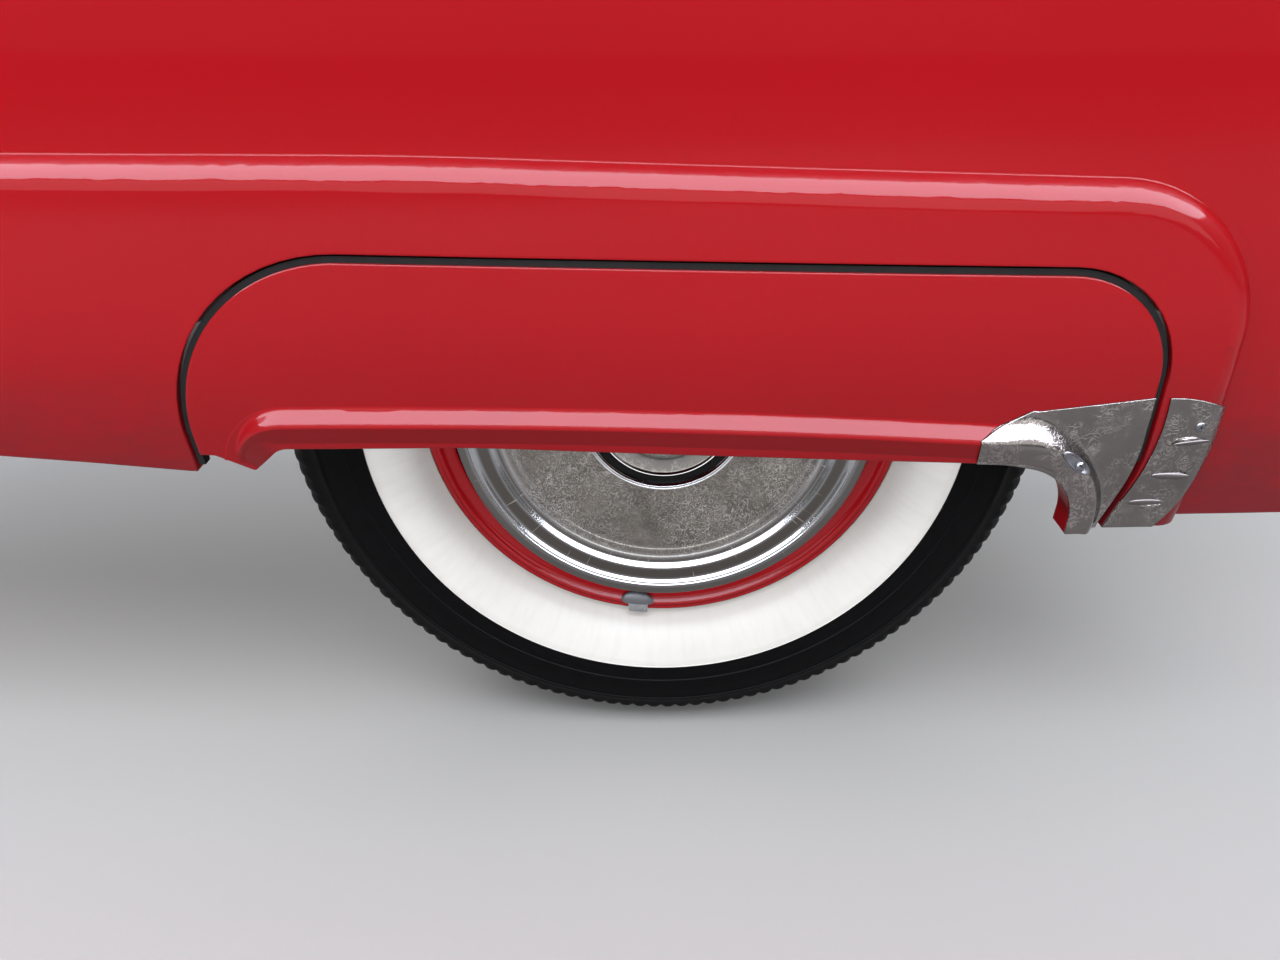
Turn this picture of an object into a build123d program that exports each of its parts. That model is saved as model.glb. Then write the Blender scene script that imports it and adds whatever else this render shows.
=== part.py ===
"""Right rear quarter of a 1950s convertible car: quarter panel, fender skirt, wheel, axle, spring and frame rail.

The frame is +X to the car's front, +Y inboard to the car's centre line, +Z up. The origin is the centre of the
axle tube's inner end, where the differential carrier takes it. All sizes are in millimetres.
"""
from build123d import *
import os

# Driving dimensions: places across the car (Y)
half_track = 711.0              # car's centre line to the wheel's middle plane
carrier_half_width = 178.0      # car's centre line to the axle tube's inner end
rim_half_width = 75.0           # wheel's middle plane to the rim lip's outer face
rim_to_side = 62.0              # rim lip to the body side's widest line
side_to_ridge = 23.0            # body side to the raised fender's widest line
wheel_y = -(half_track - carrier_half_width)
lip_y = wheel_y - rim_half_width
inner_lip_y = wheel_y + rim_half_width
side_y = lip_y - rim_to_side
ridge_y = side_y - side_to_ridge
rail_y = wheel_y + 211.0        # rail web's outer face
spring_y = wheel_y + 171.0      # middle of the leaves
shock_y = wheel_y + 307.0
floor_inner_y = wheel_y + 298.0

# Body side: a section swept round an upright axis far inboard, so that it bows a little along the car
plan_x = -50.0
plan_radius = 16000.0
sweep_arc = 12.0
low_z = -140.0                  # foot of the swept sections, below every bottom edge
side_tuck = 18.0                # how far the body side draws in at its foot
side_wide_z = 130.0
side_lean = 58.0                # how far it draws in at its top
side_high_z = 860.0
ridge_tuck = 26.0
ridge_wide_z = 95.0
ridge_lean = 7.0
ridge_high_z = 281.0

# Quarter panel seen from the side
sheet = 3.0
tail_x = -1190.0
door_x = 560.0
belt_front_z = 585.0
belt_tail_z = 385.0
belt_mid_x = -420.0
belt_mid_z = 560.0
belt_round = 1500.0
shoulder_round = 55.0
deck_reach = 165.0              # body side to the deck's inner edge
deck_flange = 22.0              # turned-down edge of the deck
bottom_tail_z = 36.0
bottom_bend_x = -458.0
bottom_bend_z = -18.0
bottom_rear_z = -25.0           # bottom edge just behind the wheel opening
bottom_front_z = -83.0
hem_depth = 24.0

# Raised fender form
ridge_rear_z = 221.0
ridge_mid_x = -190.0
ridge_mid_z = 219.0
ridge_front_z = 199.0
ridge_sweep = 3500.0
ridge_edge = 22.0               # roll of the ridge's outer edge
nose_x = 445.0
nose_round = 120.0
nose_foot_x = 421.0
nose_foot_round = 200.0
nose_tuck_z = -10.0

# Wheel opening
open_rear_x = -381.0
open_front_x = 386.0
open_top_rear_z = 157.0
open_top_front_z = 142.0
open_rear_round = 138.0
open_front_round = 91.0
open_rear_foot_x = -360.0
open_rear_side_z = 12.0
open_front_foot_x = 329.0
open_front_side_z = -24.0
open_side_round = 60.0
open_foot_round = 150.0
open_foot_z = -200.0
flange_reach = 15.0             # body side to the wheelhouse's outer wall
flange_inner_y = side_y + flange_reach

# Fender skirt
skirt_sheet = 2.0
skirt_gap = 7.0
skirt_flange = 15.0
skirt_tip = (-330.0, -24.0)
skirt_edge_rear = (-304.0, 1.0)
skirt_edge_mid = (-150.0, 3.0)
skirt_edge_front = (268.0, -14.0)
skirt_arch_x = 331.0
skirt_arch_round = 52.0
frame_inset = 8.0
frame_width = 26.0
frame_sheet = 2.5
frame_depth = 16.0
gasket_gap = 2.0
gasket_top = 3.0
gasket_deep = 13.0
gasket_foot_z = -20.0

# Flared lip along the skirt's lower edge: its crest runs through these places seen from the side
lip_tail = (-341.0, -16.0)
lip_rear = (-298.0, 22.0)
lip_mid = (-21.0, 20.0)
lip_front = (283.0, 4.0)
lip_foot = (346.0, -92.0)
lip_out = 10.5                  # crest to the skirt's surface
lip_sink = 2.0                  # how deep the crest ends under the surface at the tail
lip_reach = 22.0                # crest to where the flare leaves the surface
lip_drop = 32.0
lip_hollow_round = 9.0
lip_crest_round = 5.0
lip_back = 40.0

# Skirt's pivots and latch
pivot_inset = 28.0
pivot_y = ridge_y + pivot_inset
pivot_z = 10.0
pin_r = 5.0
pin_fit = 0.05
pin_length = 26.0
pin_root = 2.0
bracket_eye_r = 10.0
bracket_half = 4.0              # half the eye's length along the pin
bracket_foot = 30.0
latch_x = 20.0
latch_inset = 25.0
latch_rod_r = 4.0
latch_low_z = -6.0
latch_high_z = 134.0

# Gravel shields
shield_sheet = 1.8
shield_rear_x = 245.0
shield_rear_z = 8.0
shield_step = (283.0, 28.0)
shield_front_z = 41.0
shield_gap = 5.0                # quarter's shield to the wheel opening
shield_corner = (443.0, 27.0)
shield_lower = (408.0, -85.0)
rib_places = ((414.0, 2.0), (410.0, -31.0), (400.0, -61.0))
rib_length = 35.0
rib_r = 4.0
rib_sink = 0.6                  # rib's own axis under the raised fender's surface

# Tail lamp
lamp_inset = 114.0              # lamp's centre inboard of the raised fender's widest line
lamp_y = ridge_y + lamp_inset
lamp_z = 138.0
lamp_r = 52.0
lamp_body_r = 44.0
lamp_body_depth = 36.0
bezel_r = 64.0
bezel_depth = 22.0
bezel_round = 9.0
lens_depth = 34.0
lens_round = 20.0

# Door striker on the quarter's shut face
striker_z = 356.0
striker_inset = 62.0
striker_width = 38.0
striker_height = 72.0
striker_sheet = 3.0
striker_pin_r = 6.0
striker_pin_length = 20.0

# Wheelhouse and floors
house_margin = 29.0             # wheel opening's front edge to the house's front
house_r = open_front_x + house_margin
house_width = 253.0
house_inner_y = flange_inner_y + house_width
house_sheet = 2.0
house_foot_z = -20.0
house_foot = 16.0
house_arch_r = 178.0
floor_z = 252.0
floor_sheet = 2.0
floor_front_x = house_r + 37.0
floor_lap = 6.0                 # luggage floor's side wall above the bottom edge
foot_floor_z = 20.0
rocker_rear_x = house_r + 13.0
rocker_inset = 14.0
rocker_width = 82.0
rocker_sheet = 2.0

# Frame rail: a channel, open inboard
rail_width = 64.0
rail_height = 100.0
rail_sheet = 4.0
rail_front_x = 790.0
rail_front_z = -35.0            # middle height of each stretch
rail_top_z = 186.0
rail_rear_z = 130.0
rail_rear_x = -1140.0
rail_kick_x = (410.0, 190.0, -420.0, -640.0)
rail_bend = 120.0
bolt_r = 6.5
bolt_edge = 25.0
bolt_rise = 25.0
front_bolt_gap = 70.0
bumper_bolt_gap = 80.0
mount_r = 28.0
mount_places = (
    (526.0, rail_front_z, foot_floor_z),
    (60.0, rail_top_z, floor_z),
    (-330.0, rail_top_z, floor_z),
    (-1000.0, rail_rear_z, floor_z),
)

# Leaf spring
leaf_width = 51.0
leaf_thick = 7.0
leaf_round = 2850.0
leaf_ends = ((470.0, -560.0), (360.0, -430.0), (250.0, -300.0), (150.0, -180.0))
spring_front_x = 620.0
spring_rear_x = -686.0
eye_r = 22.0
eye_bore_r = 15.0
eye_pin_r = 9.0
clip_places = (300.0, -360.0)
clip_width = 18.0
clip_sheet = 3.0
hanger_sheet = 4.0
hanger_wall = 5.0
hanger_rear = 34.0
hanger_front = 42.0
hanger_top = 34.0
hanger_foot_z = -8.0
boss_r = 20.0
shackle_drop = 92.0
shackle_lean = 14.0
shackle_width = 30.0
shackle_end_r = 17.0
shackle_sheet = 6.0
pin_head = 10.0                 # how far the pins stand out past the leaves

# Axle and brake
tube_r = 38.0
tube_bore_r = 29.0
seat_r = 36.5                   # turned end that the carrier takes
seat_length = 70.0
flange_y = wheel_y + 79.0
flange_side = 110.0
flange_thick = 10.0
flange_round = 18.0
pad_half = 52.0
pad_height = 10.0
plate_half = 66.0
plate_reach = 52.0
plate_thick = 9.0
plate_lap = 3.0
plate_round = 12.0
u_bolt_side = 12.0
u_bolt_gap = 9.0                # leaves' edge to the U-bolt's middle
u_bolt_end = 18.0
nut_low = 12.0
u_nut_r = 10.5
shaft_r = 16.0
shaft_end_y = -20.0
shaft_flange_r = 76.0
shaft_flange_thick = 10.0
hub_r = 30.0
spline_count = 14
spline_length = 42.0
spline_depth = 2.0
spline_width = 3.2
bearing_width = 22.0
bearing_gap = 0.4
stop_low_r = 16.0
stop_high_r = 26.0
stop_height = 42.0
shock_low = (-86.0, -34.0)
shock_high = (-160.0, 186.0)
shock_body_r = 22.0
shock_body_length = 126.0
shock_rod_r = 7.0
shock_eye_r = 17.0
shock_eye_half = 15.0
shock_pin_r = 8.0
shock_pin_out = 20.0
shock_neck = 14.0               # eye's centre to the body's end

# Wheel, brake drum and cover
rim_seat_r = 191.0
rim_flange_height = 17.0
rim_well_drop = 21.0
rim_sheet = 3.5
rim_lip_r = rim_seat_r + rim_flange_height
rim_well_r = rim_seat_r - rim_well_drop
disc_sheet = 4.0
disc_edge_r = rim_well_r - disc_sheet / 2
disc_slots = 4
disc_slot_width = 70.0
mount_face = 8.0                # wheel's middle plane to the face that the disc seats on
mount_face_y = wheel_y + mount_face
stud_circle_r = 57.15
stud_r = 6.0
stud_out = 22.0
nut_count = 5
nut_r = 11.0
nut_height = 17.0
drum_gap = 24.0                 # rim well to the drum
drum_r = rim_well_r - drum_gap
drum_depth = 66.0
drum_wall = 12.0
drum_face = 7.0
drum_chamfer = 8.0
backing_r = drum_r + 6.0
backing_sheet = 3.0
backing_depth = 20.0
tyre_wall = 129.0               # rim lip to the tread
tyre_r = rim_lip_r + tyre_wall
tyre_half_width = 101.0
tyre_skin = 12.0
shoulder_drop = 16.0
bulge_rise = 56.0
cover_gap = 9.0                 # cover's edge inside the bead seat
cover_r = rim_seat_r - cover_gap
cover_sheet = 1.6
cover_clip_gap = 0.6
cover_out = 16.0
cover_face_y = lip_y - cover_out
ring_r = 69.0
weight_depth = 12.0
weight_length = 26.0

far = 600.0                     # reach of a cutting slab past what it cuts


def side_slab(outline, y_out=ridge_y - far / 4, y_in=0.0):
    """A side-view outline, drawn as X and Z, made solid between two planes across the car."""
    plane = Plane(origin=(0, y_in, 0), x_dir=(1, 0, 0), z_dir=(0, -1, 0))
    return extrude(plane * outline, amount=y_in - y_out)


def strip(points, thickness, y_out, y_in):
    """A sheet seen edge-on from the side: its middle line as X and Z points, and its reach across the car."""
    return side_slab(trace(Polyline(*points), thickness), y_out, y_in)


def bar_y(radius, y_out, y_in, x=0.0, z=0.0):
    """A round bar across the car."""
    plane = Plane(origin=(x, y_in, z), x_dir=(1, 0, 0), z_dir=(0, -1, 0))
    return extrude(plane * Circle(radius), amount=y_in - y_out)


def bar_x(radius, x_rear, x_front, y, z):
    """A round bar along the car."""
    plane = Plane(origin=(x_rear, y, z), x_dir=(0, 1, 0), z_dir=(1, 0, 0))
    return extrude(plane * Circle(radius), amount=x_front - x_rear)


def bar_z(radius, z_low, z_high, x, y):
    """A round bar standing upright."""
    return extrude(Plane(origin=(x, y, z_low)) * Circle(radius), amount=z_high - z_low)


def block(x_rear, x_front, y_out, y_in, z_low, z_high):
    """A square-edged block between six planes."""
    size = (x_front - x_rear, y_in - y_out, z_high - z_low)
    middle = ((x_rear + x_front) / 2, (y_out + y_in) / 2, (z_low + z_high) / 2)
    return Pos(*middle) * Box(*size)


def across_leaves(margin):
    """Two planes across the car, one each side of the spring's leaves."""
    reach = leaf_width / 2 + margin
    return spring_y - reach, spring_y + reach


def joined(solids):
    """Several solids as one piece."""
    whole = None
    for solid in solids:
        whole = solid if whole is None else whole + solid
    return whole


def turned(face):
    """A half section, drawn as Y and radius, turned round the wheel's axis."""
    plane = Plane(origin=(0, 0, 0), x_dir=(0, 1, 0), z_dir=(1, 0, 0))
    return revolve(plane * face, axis=Axis.Y)


def turned_sheet(points, thickness):
    """A pressed sheet turned round the wheel's axis: its middle line as Y and radius points."""
    return turned(trace(Polyline(*points), thickness))


def outline_from(points, radii):
    """A closed outline: radii round the inner corners of the open chain, and a straight line joins its ends."""
    chain = FilletPolyline(*points, radius=radii)
    return make_face([*chain.edges(), Line(points[-1], points[0])])


def plan_axis():
    """The upright axis far inboard that the body side is swept round."""
    return Axis((plan_x, side_y + plan_radius, 0), (0, 0, 1))


def swept_side(points):
    """The solid inboard of an arched cross-section (Y, Z) that is swept round the plan's axis."""
    low, high = points[0], points[-1]
    back = Polyline(high, (far / 2, high[1]), (far / 2, low[1]), low)
    plane = Plane(origin=(plan_x, 0, 0), x_dir=(0, 1, 0), z_dir=(1, 0, 0))
    face = plane * make_face([ThreePointArc(*points), *back.edges()])
    return revolve(face.rotate(plan_axis(), -sweep_arc / 2), axis=plan_axis(), revolution_arc=sweep_arc)


def side_solid(inset):
    """Body side, drawn in by inset."""
    low = (side_y + side_tuck + inset, low_z)
    high = (side_y + side_lean + inset, side_high_z)
    return swept_side([low, (side_y + inset, side_wide_z), high])


def crown_points(inset):
    """Three points (Y, Z) of the raised fender's arched cross-section at its widest place."""
    low = (ridge_y + ridge_tuck + inset, low_z)
    high = (ridge_y + ridge_lean + inset, ridge_high_z)
    return [low, (ridge_y + inset, ridge_wide_z), high]


def crown_solid(inset):
    """Raised fender's outer surface, drawn in by inset, with no end or top yet."""
    return swept_side(crown_points(inset))


def crown_y(x, z):
    """Where the raised fender's surface lies across the car at a place seen from the side."""
    arc = ThreePointArc(*crown_points(0))
    centre = arc.arc_center
    y_arc = centre.X - (arc.radius ** 2 - (z - centre.Y) ** 2) ** 0.5
    axis_y = side_y + plan_radius
    return axis_y - ((axis_y - y_arc) ** 2 - (x - plan_x) ** 2) ** 0.5


def rim_edges(solid):
    """Edges where the outer skin meets the faces that bound it."""
    skin = [face for face in solid.faces() if face.normal_at().Y < -0.75]
    found = {}
    for edge in [edge for face in skin for edge in face.edges()]:
        found.setdefault(hash(edge), []).append(edge)
    return [edges[0] for edges in found.values() if len(edges) == 1]


def body_outline(inset):
    """Side view of the quarter above its bottom edge: tail, belt line and door shut face."""
    tail_top = (tail_x + inset, belt_tail_z - inset)
    door_top = (door_x - inset, belt_front_z - inset)
    belt = FilletPolyline(tail_top, (belt_mid_x, belt_mid_z - inset), door_top, radius=belt_round)
    feet = Polyline(door_top, (door_x - inset, -far), (tail_x + inset, -far), tail_top)
    return make_face([*belt.edges(), *feet.edges()])


def ridge_outline(inset):
    """Side view of the raised fender: ridge line, nose and the edge that runs down to the rocker."""
    tail_top = (tail_x + inset, ridge_rear_z - inset)
    points = [
        tail_top,
        (ridge_mid_x, ridge_mid_z - inset),
        (nose_x - inset, ridge_front_z - inset),
        (nose_x - inset, nose_tuck_z),
        (nose_foot_x - inset, open_foot_z),
    ]
    edge = FilletPolyline(*points, radius=[ridge_sweep, nose_round - inset, nose_foot_round])
    feet = Polyline(points[-1], (tail_x + inset, open_foot_z), tail_top)
    return make_face([*edge.edges(), *feet.edges()])


def body_form(inset):
    """Outer form of the body side with its rounded shoulder, drawn in by inset."""
    body = side_solid(inset) & side_slab(body_outline(inset), y_in=side_y + deck_reach)
    shoulder = [edge for edge in rim_edges(body) if edge.center().Z > belt_tail_z - shoulder_round
                and edge.length > deck_reach and tail_x < edge.center().X - shoulder_round / 2 < door_x - shoulder_round]
    return fillet(shoulder, max(shoulder_round - inset, 2.0))


def ridge_form(inset):
    """Outer form of the raised fender with its rolled edge, drawn in by inset."""
    ridge = crown_solid(inset) & side_slab(ridge_outline(inset), y_in=side_y + deck_reach)
    rolled = [edge for edge in rim_edges(ridge) if edge.center().Z > low_z + 5
              and edge.center().X > tail_x + ridge_edge]
    return fillet(rolled, max(ridge_edge - inset, 2.0))


def quarter_form(inset):
    """Outer form of the whole quarter, drawn in by inset."""
    return body_form(inset) + ridge_form(inset)


def bottom_outline():
    """Everything below the quarter's bottom edge, seen from the side."""
    points = [
        (tail_x - far, bottom_tail_z),
        (tail_x, bottom_tail_z),
        (bottom_bend_x, bottom_bend_z),
        (open_rear_x, bottom_rear_z),
        (0.0, bottom_rear_z),
        (0.0, bottom_front_z),
        (door_x + far, bottom_front_z),
        (door_x + far, -far),
        (tail_x - far, -far),
    ]
    return make_face(Polyline(*points, close=True))


def opening_outline(inset):
    """Side view of the wheel opening, drawn in by inset, open well past its foot."""
    points = [
        (open_rear_foot_x + inset, open_foot_z),
        (open_rear_x + inset, open_rear_side_z),
        (open_rear_x + inset, open_top_rear_z - inset),
        (open_front_x - inset, open_top_front_z - inset),
        (open_front_x - inset, open_front_side_z),
        (open_front_foot_x - inset, open_foot_z),
    ]
    radii = [open_side_round, open_rear_round - inset, open_front_round - inset, open_foot_round]
    return outline_from(points, radii)


def skirt_cut(inset):
    """Everything below the skirt's lower edge, seen from the side."""
    tip_x, tip_z = skirt_tip
    places = [
        (-far, tip_z + 22.0),
        (tip_x - 30.0, tip_z + 14.0),
        skirt_tip,
        skirt_edge_rear,
        skirt_edge_mid,
        skirt_edge_front,
    ]
    points = [(x, z + inset) for x, z in places]
    points += [
        (skirt_arch_x + inset, skirt_edge_front[1] - 12.0 + inset),
        (skirt_arch_x + inset, bottom_front_z + inset),
        (far, bottom_front_z + inset),
    ]
    edge = FilletPolyline(*points, radius=[10.0, 3.0, 18.0, 900.0, 60.0, skirt_arch_round, 1.0])
    feet = Polyline(points[-1], (far, -far), (-far, -far), points[0])
    return make_face([*edge.edges(), *feet.edges()])


def skirt_outline(inset):
    """Side view of the skirt's sheet, drawn in by inset."""
    return opening_outline(skirt_gap + inset) - skirt_cut(inset)


def quarter_panel():
    """Quarter panel: skin, door shut face, tail end, bottom hem, deck edge and the wheel opening's flange."""
    outer = quarter_form(0)
    skin = outer - quarter_form(sheet) - side_slab(bottom_outline()) - side_slab(opening_outline(0))
    ring = side_slab(opening_outline(-sheet) - opening_outline(0), y_in=flange_inner_y)
    flange = (ring & outer) - side_slab(bottom_outline())
    lift = sheet / 2
    rear_line = [(tail_x, bottom_tail_z + lift), (bottom_bend_x, bottom_bend_z + lift),
                 (open_rear_x, bottom_rear_z + lift)]
    front_line = [(open_front_foot_x, bottom_front_z + lift), (door_x, bottom_front_z + lift)]
    hems = joined([strip(line, sheet, ridge_y - hem_depth, side_y + deck_reach) for line in (rear_line, front_line)])
    hem = (hems & outer) - quarter_form(hem_depth) - side_slab(opening_outline(0))
    deck_edge = side_slab(body_outline(0) - Pos(0, -deck_flange) * body_outline(0),
                          side_y + deck_reach - sheet, side_y + deck_reach)
    lamp_hole = bar_x(lamp_body_r, tail_x - sheet, tail_x + 2 * sheet, lamp_y, lamp_z)
    return skin + flange + hem + deck_edge - lamp_hole


def door_striker():
    """Striker plate and pin on the quarter's shut face, for the door's lock."""
    y, z = side_y + striker_inset, striker_z
    plate = block(door_x, door_x + striker_sheet, y - striker_width / 2, y + striker_width / 2,
                  z - striker_height / 2, z + striker_height / 2)
    plate = fillet(plate.edges().filter_by(Axis.X), striker_width / 4)
    pin = bar_x(striker_pin_r, door_x, door_x + striker_pin_length, y, z)
    head = bar_x(striker_pin_r + 3, door_x + striker_pin_length - 4, door_x + striker_pin_length, y, z)
    return plate + pin + head


def wheelhouse():
    """Wheelhouse: outer wall round the opening, round dome, inner wall with an arch over the axle."""
    outer_y, inner_y = flange_inner_y, house_inner_y + house_sheet
    above = block(-far, far, outer_y, inner_y, house_foot_z, far)
    dome = bar_y(house_r, outer_y, inner_y) - bar_y(house_r - house_sheet, outer_y + house_sheet, house_inner_y)
    opening = side_slab(opening_outline(-sheet), outer_y - 1, outer_y + 2 * house_sheet)
    arch = bar_y(house_arch_r, house_inner_y - 1, inner_y + 1)
    arch += block(-house_arch_r, house_arch_r, house_inner_y - 1, inner_y + 1, house_foot_z - 1, 0)
    feet = [(-house_r - house_foot, -house_r + 1.0), (house_r - 1.0, rocker_rear_x)]
    flanges = [block(rear, front, outer_y, house_inner_y, house_foot_z, house_foot_z + house_sheet)
               for rear, front in feet]
    return joined([(dome - opening - arch) & above, *flanges])


def luggage_floor():
    """Luggage floor over the rail, heel board and the side well behind the wheelhouse."""
    inboard = house_inner_y + house_sheet
    tail = tail_x + sheet
    top = floor_z + floor_sheet
    floor = block(tail, floor_front_x, inboard, floor_inner_y, floor_z, top)
    heel_z = foot_floor_z + floor_sheet
    heel = block(floor_front_x, floor_front_x + floor_sheet, inboard, floor_inner_y, heel_z, top)
    wall = block(tail, -house_r, inboard - floor_sheet, inboard, bottom_rear_z + floor_lap, top)
    lift = sheet + floor_sheet / 2 + 1.0
    line = [(tail, bottom_tail_z + lift), (bottom_bend_x, bottom_bend_z + lift), (open_rear_x, bottom_rear_z + floor_lap)]
    pan = strip(line, floor_sheet, ridge_y, inboard) & crown_solid(sheet + 0.5)
    below = side_slab(bottom_outline(), inboard - 2 * floor_sheet, inboard + 1)
    return floor + heel + (wall - below) + (pan - bar_y(house_r, side_y, inboard + 1))


def rocker():
    """Rocker's rear end: a closed box with the footwell floor's edge on it."""
    y_out = side_y + rocker_inset
    y_in = y_out + rocker_width
    low = bottom_front_z + sheet
    front = door_x - sheet
    outer = block(rocker_rear_x, front, y_out, y_in, low, foot_floor_z) & side_solid(sheet)
    wall = rocker_sheet
    inner = block(rocker_rear_x + wall, front + 1, y_out + wall, y_in - wall, low + wall, foot_floor_z - wall)
    floor = block(floor_front_x, front, y_in - house_foot, floor_inner_y, foot_floor_z, foot_floor_z + floor_sheet)
    return outer - inner + floor


def lip_path():
    """The lip's crest: a long arc over the wheel, with an arc down to the skirt's tip and one down its front."""
    rear, middle, front, foot = [Vector(x, crown_y(x, z) - lip_out, z)
                                 for x, z in (lip_rear, lip_mid, lip_front, lip_foot)]
    tail = Vector(lip_tail[0], crown_y(*lip_tail) + lip_sink, lip_tail[1])
    long_arc = ThreePointArc(rear, middle, front)
    front_arc = TangentArc(front, foot, tangent=long_arc % 1)
    rear_arc = TangentArc(rear, tail, tangent=(long_arc % 0) * -1)
    return long_arc, front_arc, rear_arc


def lip_form(inset):
    """The flared lip as a solid: a hollow flare above the crest, and a narrow face below it, drawn in by inset."""
    points = [
        (lip_reach, -lip_out - 0.7 - inset),
        (lip_reach / 3 - inset / 2, -lip_out + 1.0 - inset),
        (lip_crest_round / 2 - inset / 2, -inset),
        (-lip_drop, -lip_crest_round / 1.5 - inset),
    ]
    front = FilletPolyline(*points, radius=[lip_hollow_round + inset, lip_crest_round - inset])
    back = Polyline(points[-1], (-lip_drop, -lip_back), (lip_reach, -lip_back), points[0])
    long_arc, front_arc, rear_arc = lip_path()
    plane = Plane(origin=long_arc @ 0, x_dir=(0, 0, 1), z_dir=long_arc % 0)
    section = plane * make_face([*front.edges(), *back.edges()])
    main = sweep(section, path=Wire([long_arc.edge(), front_arc.edge()]))
    return main + sweep(section, path=Wire([rear_arc.edge()]))


def skirt_form(inset):
    """Outer form of the skirt, drawn in by inset: the raised fender's surface with the flared lip."""
    return crown_solid(inset) + lip_form(inset)


def skirt_panel():
    """Fender skirt: crowned sheet with a flared lower lip, turned in all round its edge."""
    outer = skirt_form(0)
    panel = (outer - skirt_form(skirt_sheet)) & side_slab(skirt_outline(0))
    ring = side_slab(skirt_outline(0) - skirt_outline(skirt_sheet))
    edge = ring & (outer - crown_solid(skirt_flange))
    inset = skirt_gap - skirt_sheet
    for rear, front in ((open_rear_x + inset, open_rear_x + pin_length), (open_front_x - pin_length, open_front_x - inset)):
        edge -= bar_x(pin_r + 4, rear, front, pivot_y, pivot_z)
    return panel + edge


def skirt_frame():
    """Pressed stiffener that follows the skirt's edge behind the sheet."""
    window = skirt_outline(frame_inset + frame_width)
    layer = crown_solid(skirt_sheet) - crown_solid(skirt_sheet + frame_sheet)
    depth = crown_solid(skirt_sheet) - crown_solid(frame_depth)
    ring = side_slab(skirt_outline(frame_inset) - window) & layer
    web = side_slab(window - skirt_outline(frame_inset + frame_width + frame_sheet)) & depth
    frame = ring + web
    for x in (open_rear_x, open_front_x):
        frame -= block(x - 50, x + 50, ridge_y - 50, ridge_y + 60, pivot_z - 24, pivot_z + 28)
    return frame


def skirt_gasket():
    """Rubber gasket between the skirt's edge and the wheel opening."""
    ring = opening_outline(gasket_gap) - opening_outline(skirt_gap)
    keep = side_slab(ring) & (crown_solid(gasket_top) - crown_solid(gasket_deep))
    keep &= block(-far, far, -2 * far, 0, gasket_foot_z, far)
    for x in (open_rear_x, open_front_x):
        keep -= bar_x(pin_r + 2, x - 15, x + 15, pivot_y, pivot_z)
    return keep


def shield_cut():
    """Everything above and behind the skirt's gravel shield, seen from the side."""
    step_x, step_z = shield_step
    end_x = open_front_x + skirt_gap
    points = [
        (shield_rear_x, -far),
        (shield_rear_x, shield_rear_z),
        shield_step,
        (end_x, shield_front_z),
        (end_x, far),
        (-far, far),
        (-far, -far),
    ]
    return make_face(Polyline(*points, close=True))


def skirt_shield():
    """Bright gravel shield on the skirt's front lower corner, wrapped over the lip."""
    reach = side_slab(skirt_outline(0) - shield_cut())
    return (skirt_form(-shield_sheet) & reach) - skirt_form(0)


def rib(x, z):
    """A short pressed rib: a lens turned about its own length."""
    half = rib_length / 2
    face = make_face([ThreePointArc((-half, 0), (0, rib_r), (half, 0)), Line((half, 0), (-half, 0))])
    return Pos(x, crown_y(x, z) + rib_sink, z) * revolve(Plane.XZ * face, axis=Axis.X)


def quarter_shield():
    """Bright gravel shield on the raised fender's nose ahead of the opening, with three short ribs."""
    rear_x = open_front_x + shield_gap
    rear_top = (rear_x, shield_front_z - 2.0)
    rear_foot = (open_front_x - 25.0, bottom_front_z)
    front_foot = shield_lower
    edges = [
        ThreePointArc(rear_top, (rear_x - 3.0, -18.0), rear_foot),
        Line(rear_foot, front_foot),
        ThreePointArc(front_foot, (shield_corner[0] - 6.0, -26.0), shield_corner),
        ThreePointArc(shield_corner, (shield_corner[0] - 18.0, shield_corner[1] + 7.5), rear_top),
    ]
    reach = make_face(edges) - opening_outline(0) - bottom_outline()
    plate = ridge_form(-shield_sheet) & side_slab(reach, y_in=side_y + rocker_inset)
    return joined([plate, *[rib(x, z) for x, z in rib_places]]) - ridge_form(0)


def skirt_latch():
    """Hand latch behind the skirt: a pull rod with a spring catch at the top."""
    y = ridge_y + latch_inset
    x = latch_x
    rod = bar_z(latch_rod_r, latch_low_z, latch_high_z, x, y)
    guides = block(x - 14, x + 14, ridge_y, y + 6, latch_high_z - 16, latch_high_z - 2)
    guides += block(x - 12, x + 12, ridge_y, y + 6, latch_low_z + 12, latch_low_z + 24)
    handle = block(x - 10, x + 10, y - 3, y + 14, latch_low_z - 4, latch_low_z + 2)
    return rod + (guides & crown_solid(skirt_sheet + frame_sheet)) + handle


def skirt_brackets():
    """Eyes on the skirt that turn on the two pivot pins."""
    places = ((1, open_rear_x + skirt_gap + 12.0), (-1, open_front_x - skirt_gap - 12.0))
    half = bracket_half
    brackets = []
    for side, x in places:
        eye = bar_x(bracket_eye_r, x - half, x + half, pivot_y, pivot_z)
        eye -= bar_x(pin_r + pin_fit, x - 2 * half, x + 2 * half, pivot_y, pivot_z)
        low, high = min(x - half, x + side * bracket_foot), max(x + half, x + side * bracket_foot)
        foot = block(low, high, ridge_y, pivot_y, pivot_z - 10, pivot_z + 14)
        foot &= crown_solid(skirt_sheet) - crown_solid(skirt_sheet + half)
        arm = block(x - half, x + half, ridge_y, pivot_y - pin_r - 2, pivot_z - 10, pivot_z + 10)
        brackets.append(eye + foot + (arm & crown_solid(skirt_sheet)))
    return joined(brackets)


def pivot_pins():
    """Pins on the wheel opening's flange that carry the skirt."""
    rear = bar_x(pin_r, open_rear_x - pin_root, open_rear_x + pin_length, pivot_y, pivot_z)
    front = bar_x(pin_r, open_front_x - pin_length, open_front_x + pin_root, pivot_y, pivot_z)
    return rear + front


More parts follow.
